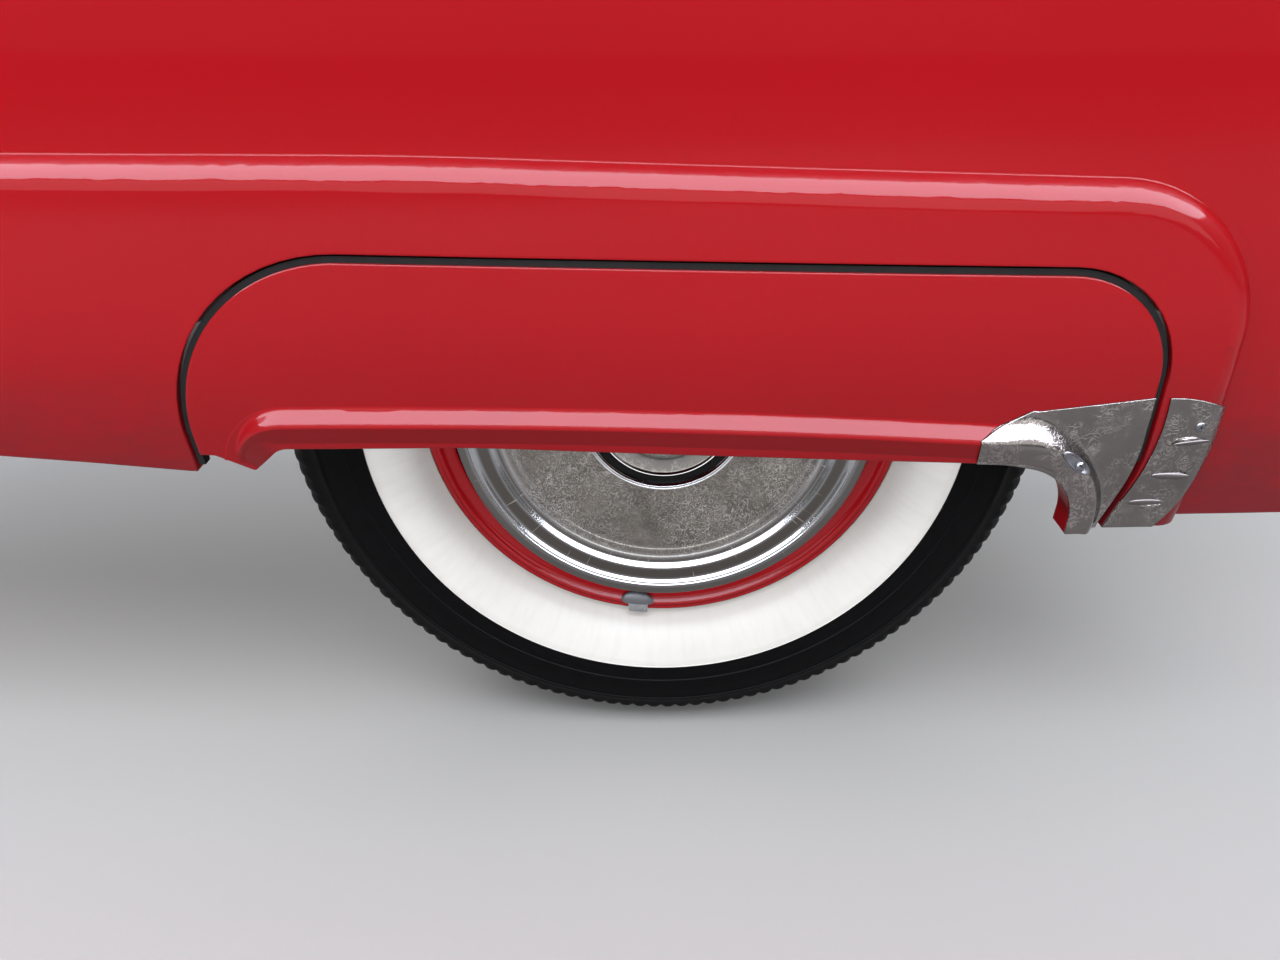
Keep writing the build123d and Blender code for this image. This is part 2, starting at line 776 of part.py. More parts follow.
def tail_lamp_bezel():
    """Bright ring round the tail lamp."""
    ring = bar_x(bezel_r, tail_x - bezel_depth, tail_x, lamp_y, lamp_z)
    ring = fillet(ring.edges().filter_by(GeomType.CIRCLE).sort_by(Axis.X)[0], bezel_round)
    return ring - bar_x(lamp_r, tail_x - bezel_depth - 1, tail_x + 1, lamp_y, lamp_z)


def tail_lamp_lens():
    """Red lens and its lamp body behind it."""
    lens = bar_x(lamp_r, tail_x - lens_depth, tail_x, lamp_y, lamp_z)
    lens = fillet(lens.edges().filter_by(GeomType.CIRCLE).sort_by(Axis.X)[0], lens_round)
    return lens + bar_x(lamp_body_r, tail_x, tail_x + lamp_body_depth, lamp_y, lamp_z)


def rail_outline(height):
    """Side view of the rail as a band of one height."""
    foot_x, top_x, drop_x, level_x = rail_kick_x
    places = [(rail_front_x, rail_front_z), (foot_x, rail_front_z), (top_x, rail_top_z),
              (drop_x, rail_top_z), (level_x, rail_rear_z), (rail_rear_x, rail_rear_z)]
    return trace(FilletPolyline(*places, radius=rail_bend), height)


def rail_bolts():
    """Places of the bolt holes in the rail's web: cross member in front, bumper arm at the rear."""
    front = [rail_front_x - bolt_edge, rail_front_x - bolt_edge - front_bolt_gap]
    rear = [rail_rear_x + bolt_edge, rail_rear_x + bolt_edge + bumper_bolt_gap]
    rises = (-bolt_rise, bolt_rise)
    return [(x, rail_front_z + rise) for x in front for rise in rises] + [
        (x, rail_rear_z + rise) for x in rear for rise in rises]


def frame_rail():
    """Frame rail: channel open inboard, kicked up over the axle, with bolt holes."""
    rail = side_slab(rail_outline(rail_height), rail_y, rail_y + rail_width)
    rail -= side_slab(rail_outline(rail_height - 2 * rail_sheet), rail_y + rail_sheet, rail_y + rail_width + 1)
    for x, z in rail_bolts():
        rail -= bar_y(bolt_r, rail_y - 1, rail_y + rail_sheet + 1, x, z)
    return rail


def body_mounts():
    """Rubber body mounts between the rail and the floors."""
    return joined([bar_z(mount_r, middle + rail_height / 2, high, x, rail_y + rail_width / 2)
                   for x, middle, high in mount_places])


def seat_z():
    """Underside of the axle's spring pad, where the main leaf seats."""
    return -tube_r - pad_height


def leaf_z(x):
    """Height of the main leaf's upper face at x."""
    return seat_z() + leaf_round - (leaf_round ** 2 - x ** 2) ** 0.5


def leaf(depth, rear, front):
    """One leaf of the spring, which lies depth below the axle's seat."""
    centre_z = seat_z() + leaf_round
    ring = bar_y(leaf_round + depth + leaf_thick, *across_leaves(0), 0, centre_z)
    ring -= bar_y(leaf_round + depth, *across_leaves(1), 0, centre_z)
    return ring & block(rear, front, *across_leaves(1), -far, far)


def eye_centre(x):
    """Centre of the spring eye whose underside runs into the main leaf at x."""
    reach = leaf_round + leaf_thick - eye_r
    return (x, seat_z() + leaf_round - (reach ** 2 - x ** 2) ** 0.5)


def main_leaf():
    """Main leaf with an eye at each end."""
    eyes = [eye_centre(x) for x in (spring_front_x, spring_rear_x)]
    body = joined([leaf(0, spring_rear_x, spring_front_x), *[bar_y(eye_r, *across_leaves(0), *eye) for eye in eyes]])
    for eye in eyes:
        body -= bar_y(eye_bore_r, *across_leaves(1), *eye)
    return body


def spring_leaves():
    """The shorter leaves under the main leaf."""
    return joined([leaf(number * leaf_thick, rear, front) for number, (front, rear) in enumerate(leaf_ends, 1)])


def spring_bushes():
    """Rubber bushes in the spring's eyes."""
    bushes = []
    for x in (spring_front_x, spring_rear_x):
        eye = eye_centre(x)
        bushes.append(bar_y(eye_bore_r, *across_leaves(0), *eye) - bar_y(eye_pin_r, *across_leaves(1), *eye))
    return joined(bushes)


def spring_clips():
    """Clips that hold the leaves together."""
    half = clip_width / 2
    clips = []
    for x in clip_places:
        top = leaf_z(x)
        low = top - 3 * leaf_thick
        clip = block(x - half, x + half, *across_leaves(clip_sheet), low - 1.5 * clip_sheet, top + 1.5 * clip_sheet)
        clip -= block(x - 2 * half, x + 2 * half, *across_leaves(0), low - clip_sheet / 2, top + clip_sheet / 2)
        clips.append(clip)
    return joined(clips)


def front_hanger():
    """Bracket and pin on the rail for the spring's front eye."""
    x, z = eye_centre(spring_front_x)
    outer_y = across_leaves(hanger_wall + 1)[0]
    bracket = block(x - hanger_rear, x + hanger_front, outer_y, rail_y, hanger_foot_z, z + hanger_top)
    bracket -= block(x - 2 * hanger_rear, x + hanger_front - hanger_sheet, *across_leaves(1),
                     hanger_foot_z - 1, z + hanger_top - hanger_sheet)
    return bracket + bar_y(eye_pin_r, outer_y - hanger_wall, rail_y, x, z)


def shackle_pin():
    """Upper shackle pin's place beside the rail."""
    x, z = eye_centre(spring_rear_x)
    return (x - shackle_lean, z + shackle_drop)


def rear_hanger():
    """Boss and pin on the rail for the shackle's upper end."""
    outer, inner = across_leaves(shackle_sheet + 2)
    boss = bar_y(boss_r, inner, rail_y, *shackle_pin())
    return boss + bar_y(eye_pin_r, outer - 2, rail_y, *shackle_pin())


def shackle():
    """Two side plates and the lower pin that hang the spring's rear eye."""
    low, top = eye_centre(spring_rear_x), shackle_pin()
    link = trace(Line(low, top), shackle_width) + Pos(*low) * Circle(shackle_end_r) + Pos(*top) * Circle(shackle_end_r)
    outer, inner = across_leaves(1)
    plates = side_slab(link, outer - shackle_sheet, outer) + side_slab(link, inner, inner + shackle_sheet)
    plates -= bar_y(eye_pin_r, spring_y - far / 4, spring_y + far / 4, *top)
    return plates + bar_y(eye_pin_r, outer - pin_head + 1, inner + shackle_sheet, *low)


def axle_tube():
    """Axle tube with the turned carrier end, the brake flange and the spring pad."""
    tube = bar_y(tube_r, flange_y, -seat_length) + bar_y(seat_r, -seat_length, 0)
    flange = Pos(0, flange_y + flange_thick / 2, 0) * Box(flange_side, flange_thick, flange_side)
    flange = fillet(flange.edges().filter_by(Axis.Y), flange_round)
    pad = block(-pad_half, pad_half, *across_leaves(0), seat_z(), 0)
    pad &= bar_y(leaf_round, *across_leaves(1), 0, seat_z() + leaf_round)
    return tube + flange + pad - bar_y(tube_bore_r, flange_y - 1, 1)


def u_bolt_places():
    """Middles of the U-bolts' legs, seen from above."""
    reach = tube_r + u_bolt_side / 2
    return [(x, y) for y in across_leaves(u_bolt_gap) for x in (-reach, reach)]


def leaves_low_z():
    """Underside of the whole pack of leaves at the axle."""
    return seat_z() - (len(leaf_ends) + 1) * leaf_thick


def spring_plate():
    """Plate under the leaves that the U-bolts pull up."""
    low = leaves_low_z()
    plate = block(-plate_half, plate_half, spring_y - plate_reach, spring_y + plate_reach,
                  low - plate_thick, low + plate_lap)
    plate = fillet(plate.edges().filter_by(Axis.Z), plate_round)
    half = u_bolt_side / 2
    for x, y in u_bolt_places():
        plate -= block(x - half, x + half, y - half, y + half, low - 2 * plate_thick, low + plate_thick)
    pack_r = leaf_round + seat_z() - low
    return plate - bar_y(pack_r, spring_y - 2 * plate_reach, spring_y + 2 * plate_reach, 0, seat_z() + leaf_round)


def u_bolts():
    """Two U-bolts over the axle tube."""
    low = leaves_low_z() - plate_thick
    half = u_bolt_side / 2
    outer_r = tube_r + u_bolt_side
    bolts = []
    for y in across_leaves(u_bolt_gap):
        bend = bar_y(outer_r, y - half, y + half) - bar_y(tube_r, y - u_bolt_side, y + u_bolt_side)
        bolts.append(bend & block(-outer_r, outer_r, y - half, y + half, 0, outer_r))
    for x, y in u_bolt_places():
        bolts.append(block(x - half, x + half, y - half, y + half, low - u_bolt_end, 0))
        bolts.append(bar_z(u_nut_r, low - nut_low, low, x, y))
    return joined(bolts)


def bump_stop():
    """Rubber stop under the rail over the axle."""
    top = Plane(origin=(0, rail_y + rail_width / 2, rail_top_z - rail_height / 2), z_dir=(0, 0, -1))
    return Part() + Solid.make_cone(stop_high_r, stop_low_r, stop_height, top)


def shock_ends():
    """Centres of the shock absorber's two eyes."""
    return [Vector(x, shock_y, z) for x, z in (shock_low, shock_high)]


def shock_absorber():
    """Tube shock absorber between the axle tube and the rail."""
    low, high = shock_ends()
    way = (high - low).normalized()
    body = extrude(Plane(origin=low + way * shock_neck, z_dir=way) * Circle(shock_body_r), amount=shock_body_length)
    rod_length = (high - low).length - shock_body_length - shock_neck
    rod = extrude(Plane(origin=high - way * rod_length, z_dir=way) * Circle(shock_rod_r), amount=rod_length)
    eyes = [bar_y(shock_eye_r, end.Y - shock_eye_half, end.Y + shock_eye_half, end.X, end.Z) for end in (low, high)]
    shock = joined([body, rod, *eyes])
    for end in (low, high):
        shock -= bar_y(shock_pin_r, end.Y - shock_pin_out, end.Y + shock_pin_out, end.X, end.Z)
    return shock


def shock_mounts():
    """Pins and stubs that hold the shock absorber at both ends."""
    low, high = shock_ends()
    stub_y = low.Y - shock_eye_half - pin_head
    half = shock_eye_r - 3.0
    lower = bar_y(shock_pin_r, stub_y - pin_head + 1, low.Y + shock_pin_out, low.X, low.Z)
    stub = block(low.X - half, 0, stub_y - pin_head + 1, stub_y, low.Z - half, low.Z + half)
    stub &= block(-far, -tube_r / 2, -far, 0, -far, far)
    upper = bar_y(shock_pin_r, rail_y + rail_sheet, high.Y + shock_pin_out, high.X, high.Z)
    return lower + (stub - bar_y(tube_r, -far, 0)) + upper


def backing_plate():
    """Brake backing plate with its rolled rim."""
    rim_r = backing_r + backing_sheet
    plate = bar_y(rim_r, flange_y - backing_sheet, flange_y) - bar_y(tube_bore_r, flange_y - far, flange_y + 1)
    rim = bar_y(rim_r, flange_y - backing_depth, flange_y) - bar_y(backing_r, flange_y - far, flange_y + 1)
    return plate + rim


def stud_places():
    """The five studs' places round the wheel's axis, as X and Z."""
    spots = [Vector(0, 0, stud_circle_r).rotate(Axis.Y, turn * 360.0 / nut_count) for turn in range(nut_count)]
    return [(spot.X, spot.Z) for spot in spots]


def stud_holes(y_out, y_in):
    """The five studs' shanks between two planes."""
    return joined([bar_y(stud_r, y_out, y_in, x, z) for x, z in stud_places()])


def brake_drum():
    """Brake drum, open inboard, clamped between the shaft flange and the wheel."""
    drum = bar_y(drum_r, mount_face_y, mount_face_y + drum_depth)
    drum = chamfer(drum.edges().filter_by(GeomType.CIRCLE).sort_by(Axis.Y)[0], drum_chamfer)
    drum -= bar_y(drum_r - drum_wall, mount_face_y + drum_face, mount_face_y + drum_depth + 1)
    drum -= stud_holes(mount_face_y - 1, mount_face_y + 2 * drum_face)
    return drum - bar_y(hub_r, mount_face_y - 1, mount_face_y + 2 * drum_face)


def axle_shaft():
    """Axle shaft with its wheel flange and splined inner end."""
    face = mount_face_y + drum_face
    shaft = bar_y(shaft_r, face, shaft_end_y) + bar_y(hub_r, mount_face_y - disc_sheet, face)
    shaft += bar_y(shaft_flange_r, face, face + shaft_flange_thick) - stud_holes(face - 1, face + 2 * shaft_flange_thick)
    half = spline_width / 2
    for turn in range(spline_count):
        groove = block(-half, half, shaft_end_y - spline_length, shaft_end_y + 1, shaft_r - spline_depth, shaft_r + 1)
        shaft -= groove.rotate(Axis.Y, turn * 360.0 / spline_count)
    return shaft


def bearing():
    """Wheel bearing between the shaft and the tube's outer end."""
    ring = bar_y(tube_bore_r, flange_y + 4, flange_y + 4 + bearing_width)
    return ring - bar_y(shaft_r + bearing_gap, flange_y, flange_y + 2 * bearing_width)


def wheel_disc():
    """Pressed wheel disc with its bolt circle, and four slots between its welds to the rim."""
    face = mount_face_y - disc_sheet / 2
    points = [
        (face, hub_r + disc_sheet / 4),
        (face, 82.0),
        (face - 22.0, 108.0),
        (face - 26.0, disc_edge_r - 28.0),
        (face - 32.0, disc_edge_r),
        (face - 6.0, disc_edge_r),
    ]
    disc = turned_sheet(points, disc_sheet) - stud_holes(mount_face_y - far / 4, mount_face_y + 1)
    half = disc_slot_width / 2
    slot = block(-half, half, face - far / 4, face, disc_edge_r - disc_sheet, disc_edge_r + disc_sheet)
    for turn in range(disc_slots):
        disc -= slot.rotate(Axis.Y, (turn + 0.5) * 360.0 / disc_slots)
    return disc


def wheel_nuts():
    """Five nuts on their studs, which run through the disc, the drum and the shaft's flange."""
    seat = mount_face_y - disc_sheet
    plane = Plane(origin=(0, seat, 0), x_dir=(1, 0, 0), z_dir=(0, -1, 0))
    nuts = [extrude(plane * Pos(x, z) * RegularPolygon(nut_r, 6), amount=nut_height) for x, z in stud_places()]
    return joined([stud_holes(seat - stud_out, mount_face_y + drum_face + shaft_flange_thick), *nuts])


def wheel_rim():
    """Wheel rim: two rolled lips, bead seats and the drop well."""
    half = rim_sheet / 2
    seat_r = rim_seat_r - half
    flange = [(5.0, rim_lip_r + 1.0), (half, rim_lip_r - 2.0), (half + 4.5, seat_r + 3.0), (14.0, seat_r),
              (34.0, seat_r - 1.5)]
    outer = [(lip_y + depth, radius) for depth, radius in flange]
    inner = [(inner_lip_y - depth, radius) for depth, radius in reversed(flange)]
    well = [(lip_y + 46.0, rim_well_r + half), (lip_y + 82.0, rim_well_r + half)]
    return turned_sheet([*outer, *well, *inner], rim_sheet)


def tyre():
    """Whitewall tyre: hollow carcass with beads seated in the rim."""
    wall_out, wall_in = wheel_y - tyre_half_width, wheel_y + tyre_half_width
    bulge_r, shoulder_r = rim_lip_r + bulge_rise, tyre_r - shoulder_drop
    low_r, high_r = rim_lip_r + 24.0, shoulder_r - 23.0
    bead_r = rim_seat_r + 5.0
    side = [(8.0, low_r), (0.0, bulge_r), (6.0, high_r), (22.0, shoulder_r), (51.0, tyre_r - 2.0)]
    lining = [(tyre_skin + 8.0, low_r + 3.0), (tyre_skin, bulge_r), (tyre_skin + 18.0, shoulder_r - tyre_skin)]
    outer = Spline(
        (lip_y + 9.0, bead_r), (lip_y + 7.5, rim_lip_r + 6.0), *[(wall_out + d, r) for d, r in side], (wheel_y, tyre_r),
        *[(wall_in - d, r) for d, r in reversed(side)], (inner_lip_y - 7.5, rim_lip_r + 6.0), (inner_lip_y - 9.0, bead_r))
    inner = Spline(
        (inner_lip_y - 24.0, bead_r), *[(wall_in - d, r) for d, r in lining], (wheel_y, tyre_r - tyre_skin - 2.0),
        *[(wall_out + d, r) for d, r in reversed(lining)], (lip_y + 24.0, bead_r))
    beads = []
    for start, way in ((inner_lip_y, -1), (lip_y, 1)):
        steps = [(9.0, bead_r), (16.0, rim_seat_r + 0.15), (26.0, rim_seat_r - 0.6), (24.0, bead_r)]
        beads += Polyline(*[(start + way * depth, radius) for depth, radius in steps]).edges()
    return turned(make_face([outer, inner, *beads]))


def wheel_cover():
    """Full wheel cover: clip ring, rolled edge and raised bands round a flat disc."""
    y = cover_face_y
    clip_r = rim_seat_r - rim_sheet - cover_sheet / 2 - cover_clip_gap
    bands = [(8.0, 1.0), (3.0, 5.0), (0.0, 12.0), (4.0, 17.0), (5.0, 34.0), (0.0, 37.0), (0.0, 44.0), (4.0, 48.0),
             (4.0, 54.0)]
    points = [
        (lip_y + 20.0, clip_r),
        (lip_y + 13.0, clip_r),
        (lip_y + 4.0, cover_r - 3.0),
        *[(y + depth, cover_r - inward) for depth, inward in bands],
        (y + 8.0, ring_r + 4.0),
        (y + 8.0, hub_r),
    ]
    return turned_sheet(points, cover_sheet)


def cover_centre():
    """Raised centre of the cover: bright ring, dark groove and bowl."""
    y = cover_face_y + 8.0 - cover_sheet / 2
    points = [(y, 0.1), (y, ring_r), (y - 7.0, ring_r), (y - 9.0, ring_r - 2.0), (y - 6.0, ring_r - 3.0),
              (y - 6.0, ring_r - 9.0), (y - 9.0, ring_r - 10.0), (y - 7.0, ring_r - 12.0), (y - 3.0, ring_r - 14.0),
              (y - 4.0, 42.0), (y - 14.0, 34.0), (y - 20.0, 18.0), (y - 22.0, 0.1)]
    return turned(make_face(Polyline(*points, close=True)))


def balance_weight():
    """Lead balance weight clipped to the rim's outer lip."""
    outer_r = rim_lip_r - 3.0
    half = weight_length / 2
    ring = bar_y(outer_r, lip_y - weight_depth / 2, lip_y) - bar_y(outer_r - weight_depth, lip_y - far, lip_y + 1)
    return ring & block(-half - 5.0, half - 5.0, lip_y - weight_depth, lip_y, -rim_lip_r, -rim_well_r)


pieces = (
    ("quarter_panel", quarter_panel),
    ("door_striker", door_striker),
    ("wheelhouse", wheelhouse),
    ("luggage_floor", luggage_floor),
    ("rocker", rocker),
    ("quarter_gravel_shield", quarter_shield),
    ("pivot_pins", pivot_pins),
    ("tail_lamp_bezel", tail_lamp_bezel),
    ("tail_lamp_lens", tail_lamp_lens),
    ("frame_rail", frame_rail),
    ("body_mounts", body_mounts),
    ("main_leaf", main_leaf),
    ("spring_leaves", spring_leaves),
    ("spring_bushes", spring_bushes),
    ("spring_clips", spring_clips),
    ("front_hanger", front_hanger),
    ("rear_hanger", rear_hanger),
    ("shackle", shackle),
    ("axle_tube", axle_tube),
    ("spring_plate", spring_plate),
    ("u_bolts", u_bolts),
    ("bump_stop", bump_stop),
    ("shock_absorber", shock_absorber),
    ("shock_mounts", shock_mounts),
    ("backing_plate", backing_plate),
    ("wheel_bearing", bearing),
    ("skirt_panel", skirt_panel),
    ("skirt_frame", skirt_frame),
    ("skirt_gasket", skirt_gasket),
    ("skirt_gravel_shield", skirt_shield),
    ("skirt_latch", skirt_latch),
    ("skirt_brackets", skirt_brackets),
    ("axle_shaft", axle_shaft),
    ("brake_drum", brake_drum),
    ("wheel_disc", wheel_disc),
    ("wheel_nuts", wheel_nuts),
    ("wheel_rim", wheel_rim),
    ("tyre", tyre),
    ("wheel_cover", wheel_cover),
    ("cover_centre", cover_centre),
    ("balance_weight", balance_weight),
)


def build_all():
    """Build each piece and write it to its own file."""
    os.makedirs("parts", exist_ok=True)
    for name, make in pieces:
        solid = make()
        solid.label = name
        export_step(solid, f"parts/{name}.step")


if __name__ == "__main__":
    build_all()
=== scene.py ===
"""Looks of the right rear quarter of a 1950s convertible: paint, bright metal, whitewall tyre and chassis finishes."""
import bmesh
import bpy
import math
from mathutils import Matrix, Vector


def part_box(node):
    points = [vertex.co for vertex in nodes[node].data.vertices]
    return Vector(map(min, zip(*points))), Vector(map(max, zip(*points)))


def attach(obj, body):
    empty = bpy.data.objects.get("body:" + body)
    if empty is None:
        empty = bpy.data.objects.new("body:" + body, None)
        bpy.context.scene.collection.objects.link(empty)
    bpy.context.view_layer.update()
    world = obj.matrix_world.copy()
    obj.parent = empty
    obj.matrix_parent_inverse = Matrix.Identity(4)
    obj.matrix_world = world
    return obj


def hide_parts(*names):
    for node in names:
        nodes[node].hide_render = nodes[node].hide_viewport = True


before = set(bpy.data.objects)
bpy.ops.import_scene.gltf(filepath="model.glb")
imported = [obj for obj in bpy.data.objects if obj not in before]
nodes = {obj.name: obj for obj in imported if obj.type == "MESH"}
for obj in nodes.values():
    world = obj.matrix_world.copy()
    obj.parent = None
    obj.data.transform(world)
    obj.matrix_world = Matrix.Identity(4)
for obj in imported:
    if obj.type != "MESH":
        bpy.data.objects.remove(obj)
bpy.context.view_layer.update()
mm = 0.001
merge_reach = 0.000005
down, outward = (0.0, 0.0, -1.0), (0.0, -1.0, 0.0)

# Steps outward, in mm: wheel's middle to rim's lip, lip to cover's face, lip to body side, body side to fender's ridge
lip_out, cover_out, side_out, ridge_out = 75.0, 16.0, 62.0, 23.0

# Places taken from the frame, in metres
tyre_low, tyre_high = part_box("tyre")
wheel_y = (tyre_low.y + tyre_high.y) / 2
lip_y = wheel_y - lip_out * mm
cover_face_y = lip_y - cover_out * mm
centre_base_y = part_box("cover_centre")[1].y

# Raised fender's surface and the crest of the skirt's flared lip, in mm, as in the part's source
ridge_y = wheel_y / mm - lip_out - side_out - ridge_out
fender_section = ((ridge_y + 26.0, -140.0), (ridge_y, 95.0), (ridge_y + 7.0, 281.0))
plan_x = -50.0
plan_r = 16000.0
plan_axis_y = ridge_y + ridge_out + plan_r
lip_tail, lip_rear, lip_mid, lip_front, lip_foot = (
    (-341.0, -16.0), (-298.0, 22.0), (-21.0, 20.0), (283.0, 4.0), (346.0, -92.0))
crest_rise = 11.9
tail_fall = 12.5
skirt_foot_z = -82.6
shield_rear_x = 245.0
shield_slant = ((245.0, 8.0), (283.0, 28.0))
shield_lap = 12.0
swell_x, swell_half = 285.0, 48.0
swell_rise, swell_slope, swell_top = 1.6, 0.66, 13.0
flare_foot, foot_gain = -16.0, 3.5
flare_top = 12.5
flare_slope = 1.4
flare_wall = 1.9
crest_gain, crest_lap, crest_rounding = 0.19, 0.9, 5.0
crest_steps = (32, 190, 44)
edge_sink = 0.45

# Gravel shields' fixings: places seen from the car's side, directions and sizes in metres, the cup's section in mm
shield_ribs = ((0.4180, -0.0005), (0.4090, -0.0310), (0.3965, -0.0575))
rib_half = (0.0150, 0.0031, 0.0017)
quarter_screw_place = (0.4215, 0.0135)
quarter_screw_along = Vector((0.8, 0.0, 0.6))
skirt_screw_place = (0.3240, -0.0125)
skirt_screw_along = Vector((0.80, 0.0, -0.60))
screw_r = 0.0042
cup_section = ((5.6, -1.2), (5.8, 0.2), (5.3, 0.8), (4.6, 0.7), (4.0, -0.1), (0.0, -0.3))
cup_narrowing = 0.92
cup_stretch = 3.0

# Ends of the quarter panel's dull inner side, in metres
inner_rear_x, inner_front_x = -1.18, 0.55

# Camera, as the photograph was taken: a wide lens close to the wheel, looking down
camera_place = Vector((-0.0234, lip_y - 0.8205, 0.3475))
camera_pitch = math.radians(27.017)
camera_turn = math.radians(0.177)
sensor_mm = 36.0
focal_px = 1035.0
frame_px = 1280.0

# Tyre: half section from the bead over the outer wall to the middle of the tread, in mm, as radius and half width
white_r = 257.0
white_foot_r = 211.0
white_from = 66.0
tyre_steps = 432
tread_r, tread_half_width = 327.5, 48.5
tread_zigzag = (0.0, 0.0022, 0.0, -0.0022)
shoulder_r, shoulder_edge_r, shoulder_from = 316.5, 331.0, 55.0
shoulder_drop, edge_drop, shoulder_tuck = 0.0020, 0.0016, 0.0008
tyre_half = (
    (196, 65), (206, 66), (211, 67.5), (215, 71.5), (219, 79), (224, 86), (230, 91.2),
    (236, 94.8), (242, 97.4), (248, 99.2), (253, 100.2), (256.6, 100.7), (257.2, 101.4), (259.2, 101.5),
    (260, 100.9), (266, 101), (272, 100.7), (273, 101.4), (275, 101.2), (276, 100.2), (284, 98.7),
    (292, 96.4), (299, 93.8), (300, 94.4), (302, 93.6), (303, 92.2), (309, 88.8), (314, 85.6),
    (317, 84.6), (321, 80.6), (326, 74.6), (330, 67.6), (333, 59.6), (334.6, 52),
)
tread_half = (
    (335, 47), (328.5, 45.4), (328.5, 42.6), (335.2, 41), (336, 32), (336.2, 23), (329.5, 21.4),
    (329.5, 18.6), (336.4, 17), (336.8, 8), (337, 1.6), (331, 0.8),
)
tyre_lining = ((196, 52), (214, 60), (236, 82), (264, 89), (296, 82), (312, 64), (323, 30))

# Wheel cover: radius and depth behind the face plane, in mm; its turned edge lies beyond cover_edge_r
cover_steps = 288
cover_sheet = 1.5
cover_lift = 0.8
cover_edge_r, cover_turn_depth, cover_tail_depth = 180.0, 8.0, 14.0
cover_front = (
    (186.6, 38), (186.8, 30.5), (184, 23.5), (182.4, 17), (182.2, 10), (182.2, 6), (181.8, 4), (181.3, 3),
    (180.6, 2.6), (178, 2.2), (175.4, 1.85), (173, 1.5), (172.7, 1.4), (172.4, 1.1), (171.8, 0.35), (171.5, 0.1),
    (171.2, 0.1), (171, 0.22), (170.6, 0.65), (170.4, 0.85), (170.2, 0.95), (169.2, 1), (168.9, 1.08), (168.7, 1.25),
    (167.1, 2.95), (166.9, 3.15), (166.6, 3.28), (165.6, 3.3), (161, 2.75), (157.5, 2.3), (155.4, 2.12), (154.6, 2.2),
    (154.1, 2.35), (153.7, 2.65), (150.6, 5.8), (150.3, 6.05), (150, 6.15), (147, 6.2), (145.9, 6.15), (145.3, 6.2),
    (144.6, 6.5), (143.7, 7.05), (142.9, 7.25), (139, 7.1), (137.4, 7.05), (136.8, 7.3), (135.9, 7.85), (134.6, 7.95),
    (131.5, 7.5), (128, 7.3), (118, 7.4), (105, 7.5), (92, 7.6), (80, 7.6), (75, 7.5), (52, 7.5),
    (31, 7.5),
)

# Middle of the cover: radius and height over its base, and the radii of the black groove and the satin bowl, in mm
centre_front = (
    (72.8, 0.4), (72.8, 5.6), (72.5, 7.1), (71.9, 7.9), (71.3, 7.9), (70.7, 7.4), (70.3, 7.5), (69.8, 8),
    (69.2, 8.1), (68.6, 7.6), (67.9, 6.7), (67.3, 6.1), (64.5, 4.6), (61.6, 3), (61.2, 3.3), (60.6, 4.2),
    (60, 4.6), (59.4, 4.4), (58.6, 3.6), (57.8, 2.8), (57, 2.4), (54, 2), (49, 2), (46.4, 2.4),
    (44.6, 3.4), (43, 5.2), (41.4, 8.2), (39.4, 11), (35.8, 13.6), (30, 16.4), (22, 19.2), (13, 21.2),
    (6, 21.9), (0, 22),
)
black_ring = (61.4, 67.4)
bowl_r = 57.4

# Painted highlights on the cover's rolls: radius in metres and how much paler the metal is painted there
cover_roll_highlights = (
    (0, 0), (0.1356, 0), (0.1361, 0.30), (0.1369, 0.30), (0.1376, 0), (0.1433, 0), (0.1439, 0.75),
    (0.1450, 0.75), (0.1455, 0), (0.1503, 0), (0.1510, 1), (0.1541, 1), (0.1550, 0), (0.1664, 0),
    (0.1670, 1), (0.1688, 1), (0.1693, 0.05), (0.1704, 0.05), (0.1708, 1), (0.1718, 1), (0.1727, 0.13),
    (0.1830, 0.13),
)

# Enamelled lip of the rim: radius and height in front of the lip's plane, in mm
rim_front = (
    (188.5, -5.5), (190.5, -4.55), (193, -3.8), (195.2, -3.1), (196.2, -2.8), (197.6, -2.2), (199, -1),
    (200.3, 0.35), (201.3, 1.05), (202.3, 1.3), (203.4, 1), (204.4, 0.3), (205.2, 0.15), (206, 0.45),
    (206.8, 0.5), (207.6, 0.1), (208.3, -1), (208.7, -2.6), (208.9, -4),
)

# Balance weight, in metres: its cushion's half sizes, and its clip over the rim's lip
weight_shift = -18.3 * mm
weight_lip_r = 0.2085
weight_z, weight_inset = -0.1995, 0.0012
cushion_half = (0.0152, 0.0058, 0.0098)
cushion_crown = 0.0012
clip_size = (0.0180, 0.0034, 0.0100)
clip_place = (0.0006, -0.0034, -0.0040)
clip_edge_r = 0.0012
clip_front = 0.0036
clip_top_z = -0.2010

# Small parts of the hidden side, in metres: bolts by their places seen from above and from inside
mount_bolts = ((0.526, -0.290), (0.060, -0.290), (-0.330, -0.290), (-1.000, -0.290))
plate_bolts = ((0.066, 0.066), (0.066, -0.066), (-0.066, 0.066), (-0.066, -0.066), (0.0, 0.118), (-0.028, 0.118))
web_bolts = ((0.606, -0.030), (0.650, -0.034), (-0.715, 0.165), (-0.685, 0.165))
large_bolt, small_bolt = (0.018, 0.008), (0.014, 0.006)
small_bolt_along = Vector((0.9, 0.0, 0.43))
washer_rise = 0.0016
view_height, view_inside, view_side = 0.9, 0.5, -2.0

# Beads: ends of the floor's and their rows across the car; places across the car and radii of those on the dome
floor_beads = ((-1.14, -1.04), (-0.95, -0.70), (-0.65, -0.40), (-0.26, -0.02), (0.13, 0.40))
floor_bead_rows = (-0.352, -0.268)
floor_bead_size = (0.011, 0.0032)
floor_place = (-0.5, -0.30)
dome_beads = ((-0.600, 0.0042), (-0.535, 0.0042), (-0.470, 0.0042))
dome_seam = (0.001, 0.0026)

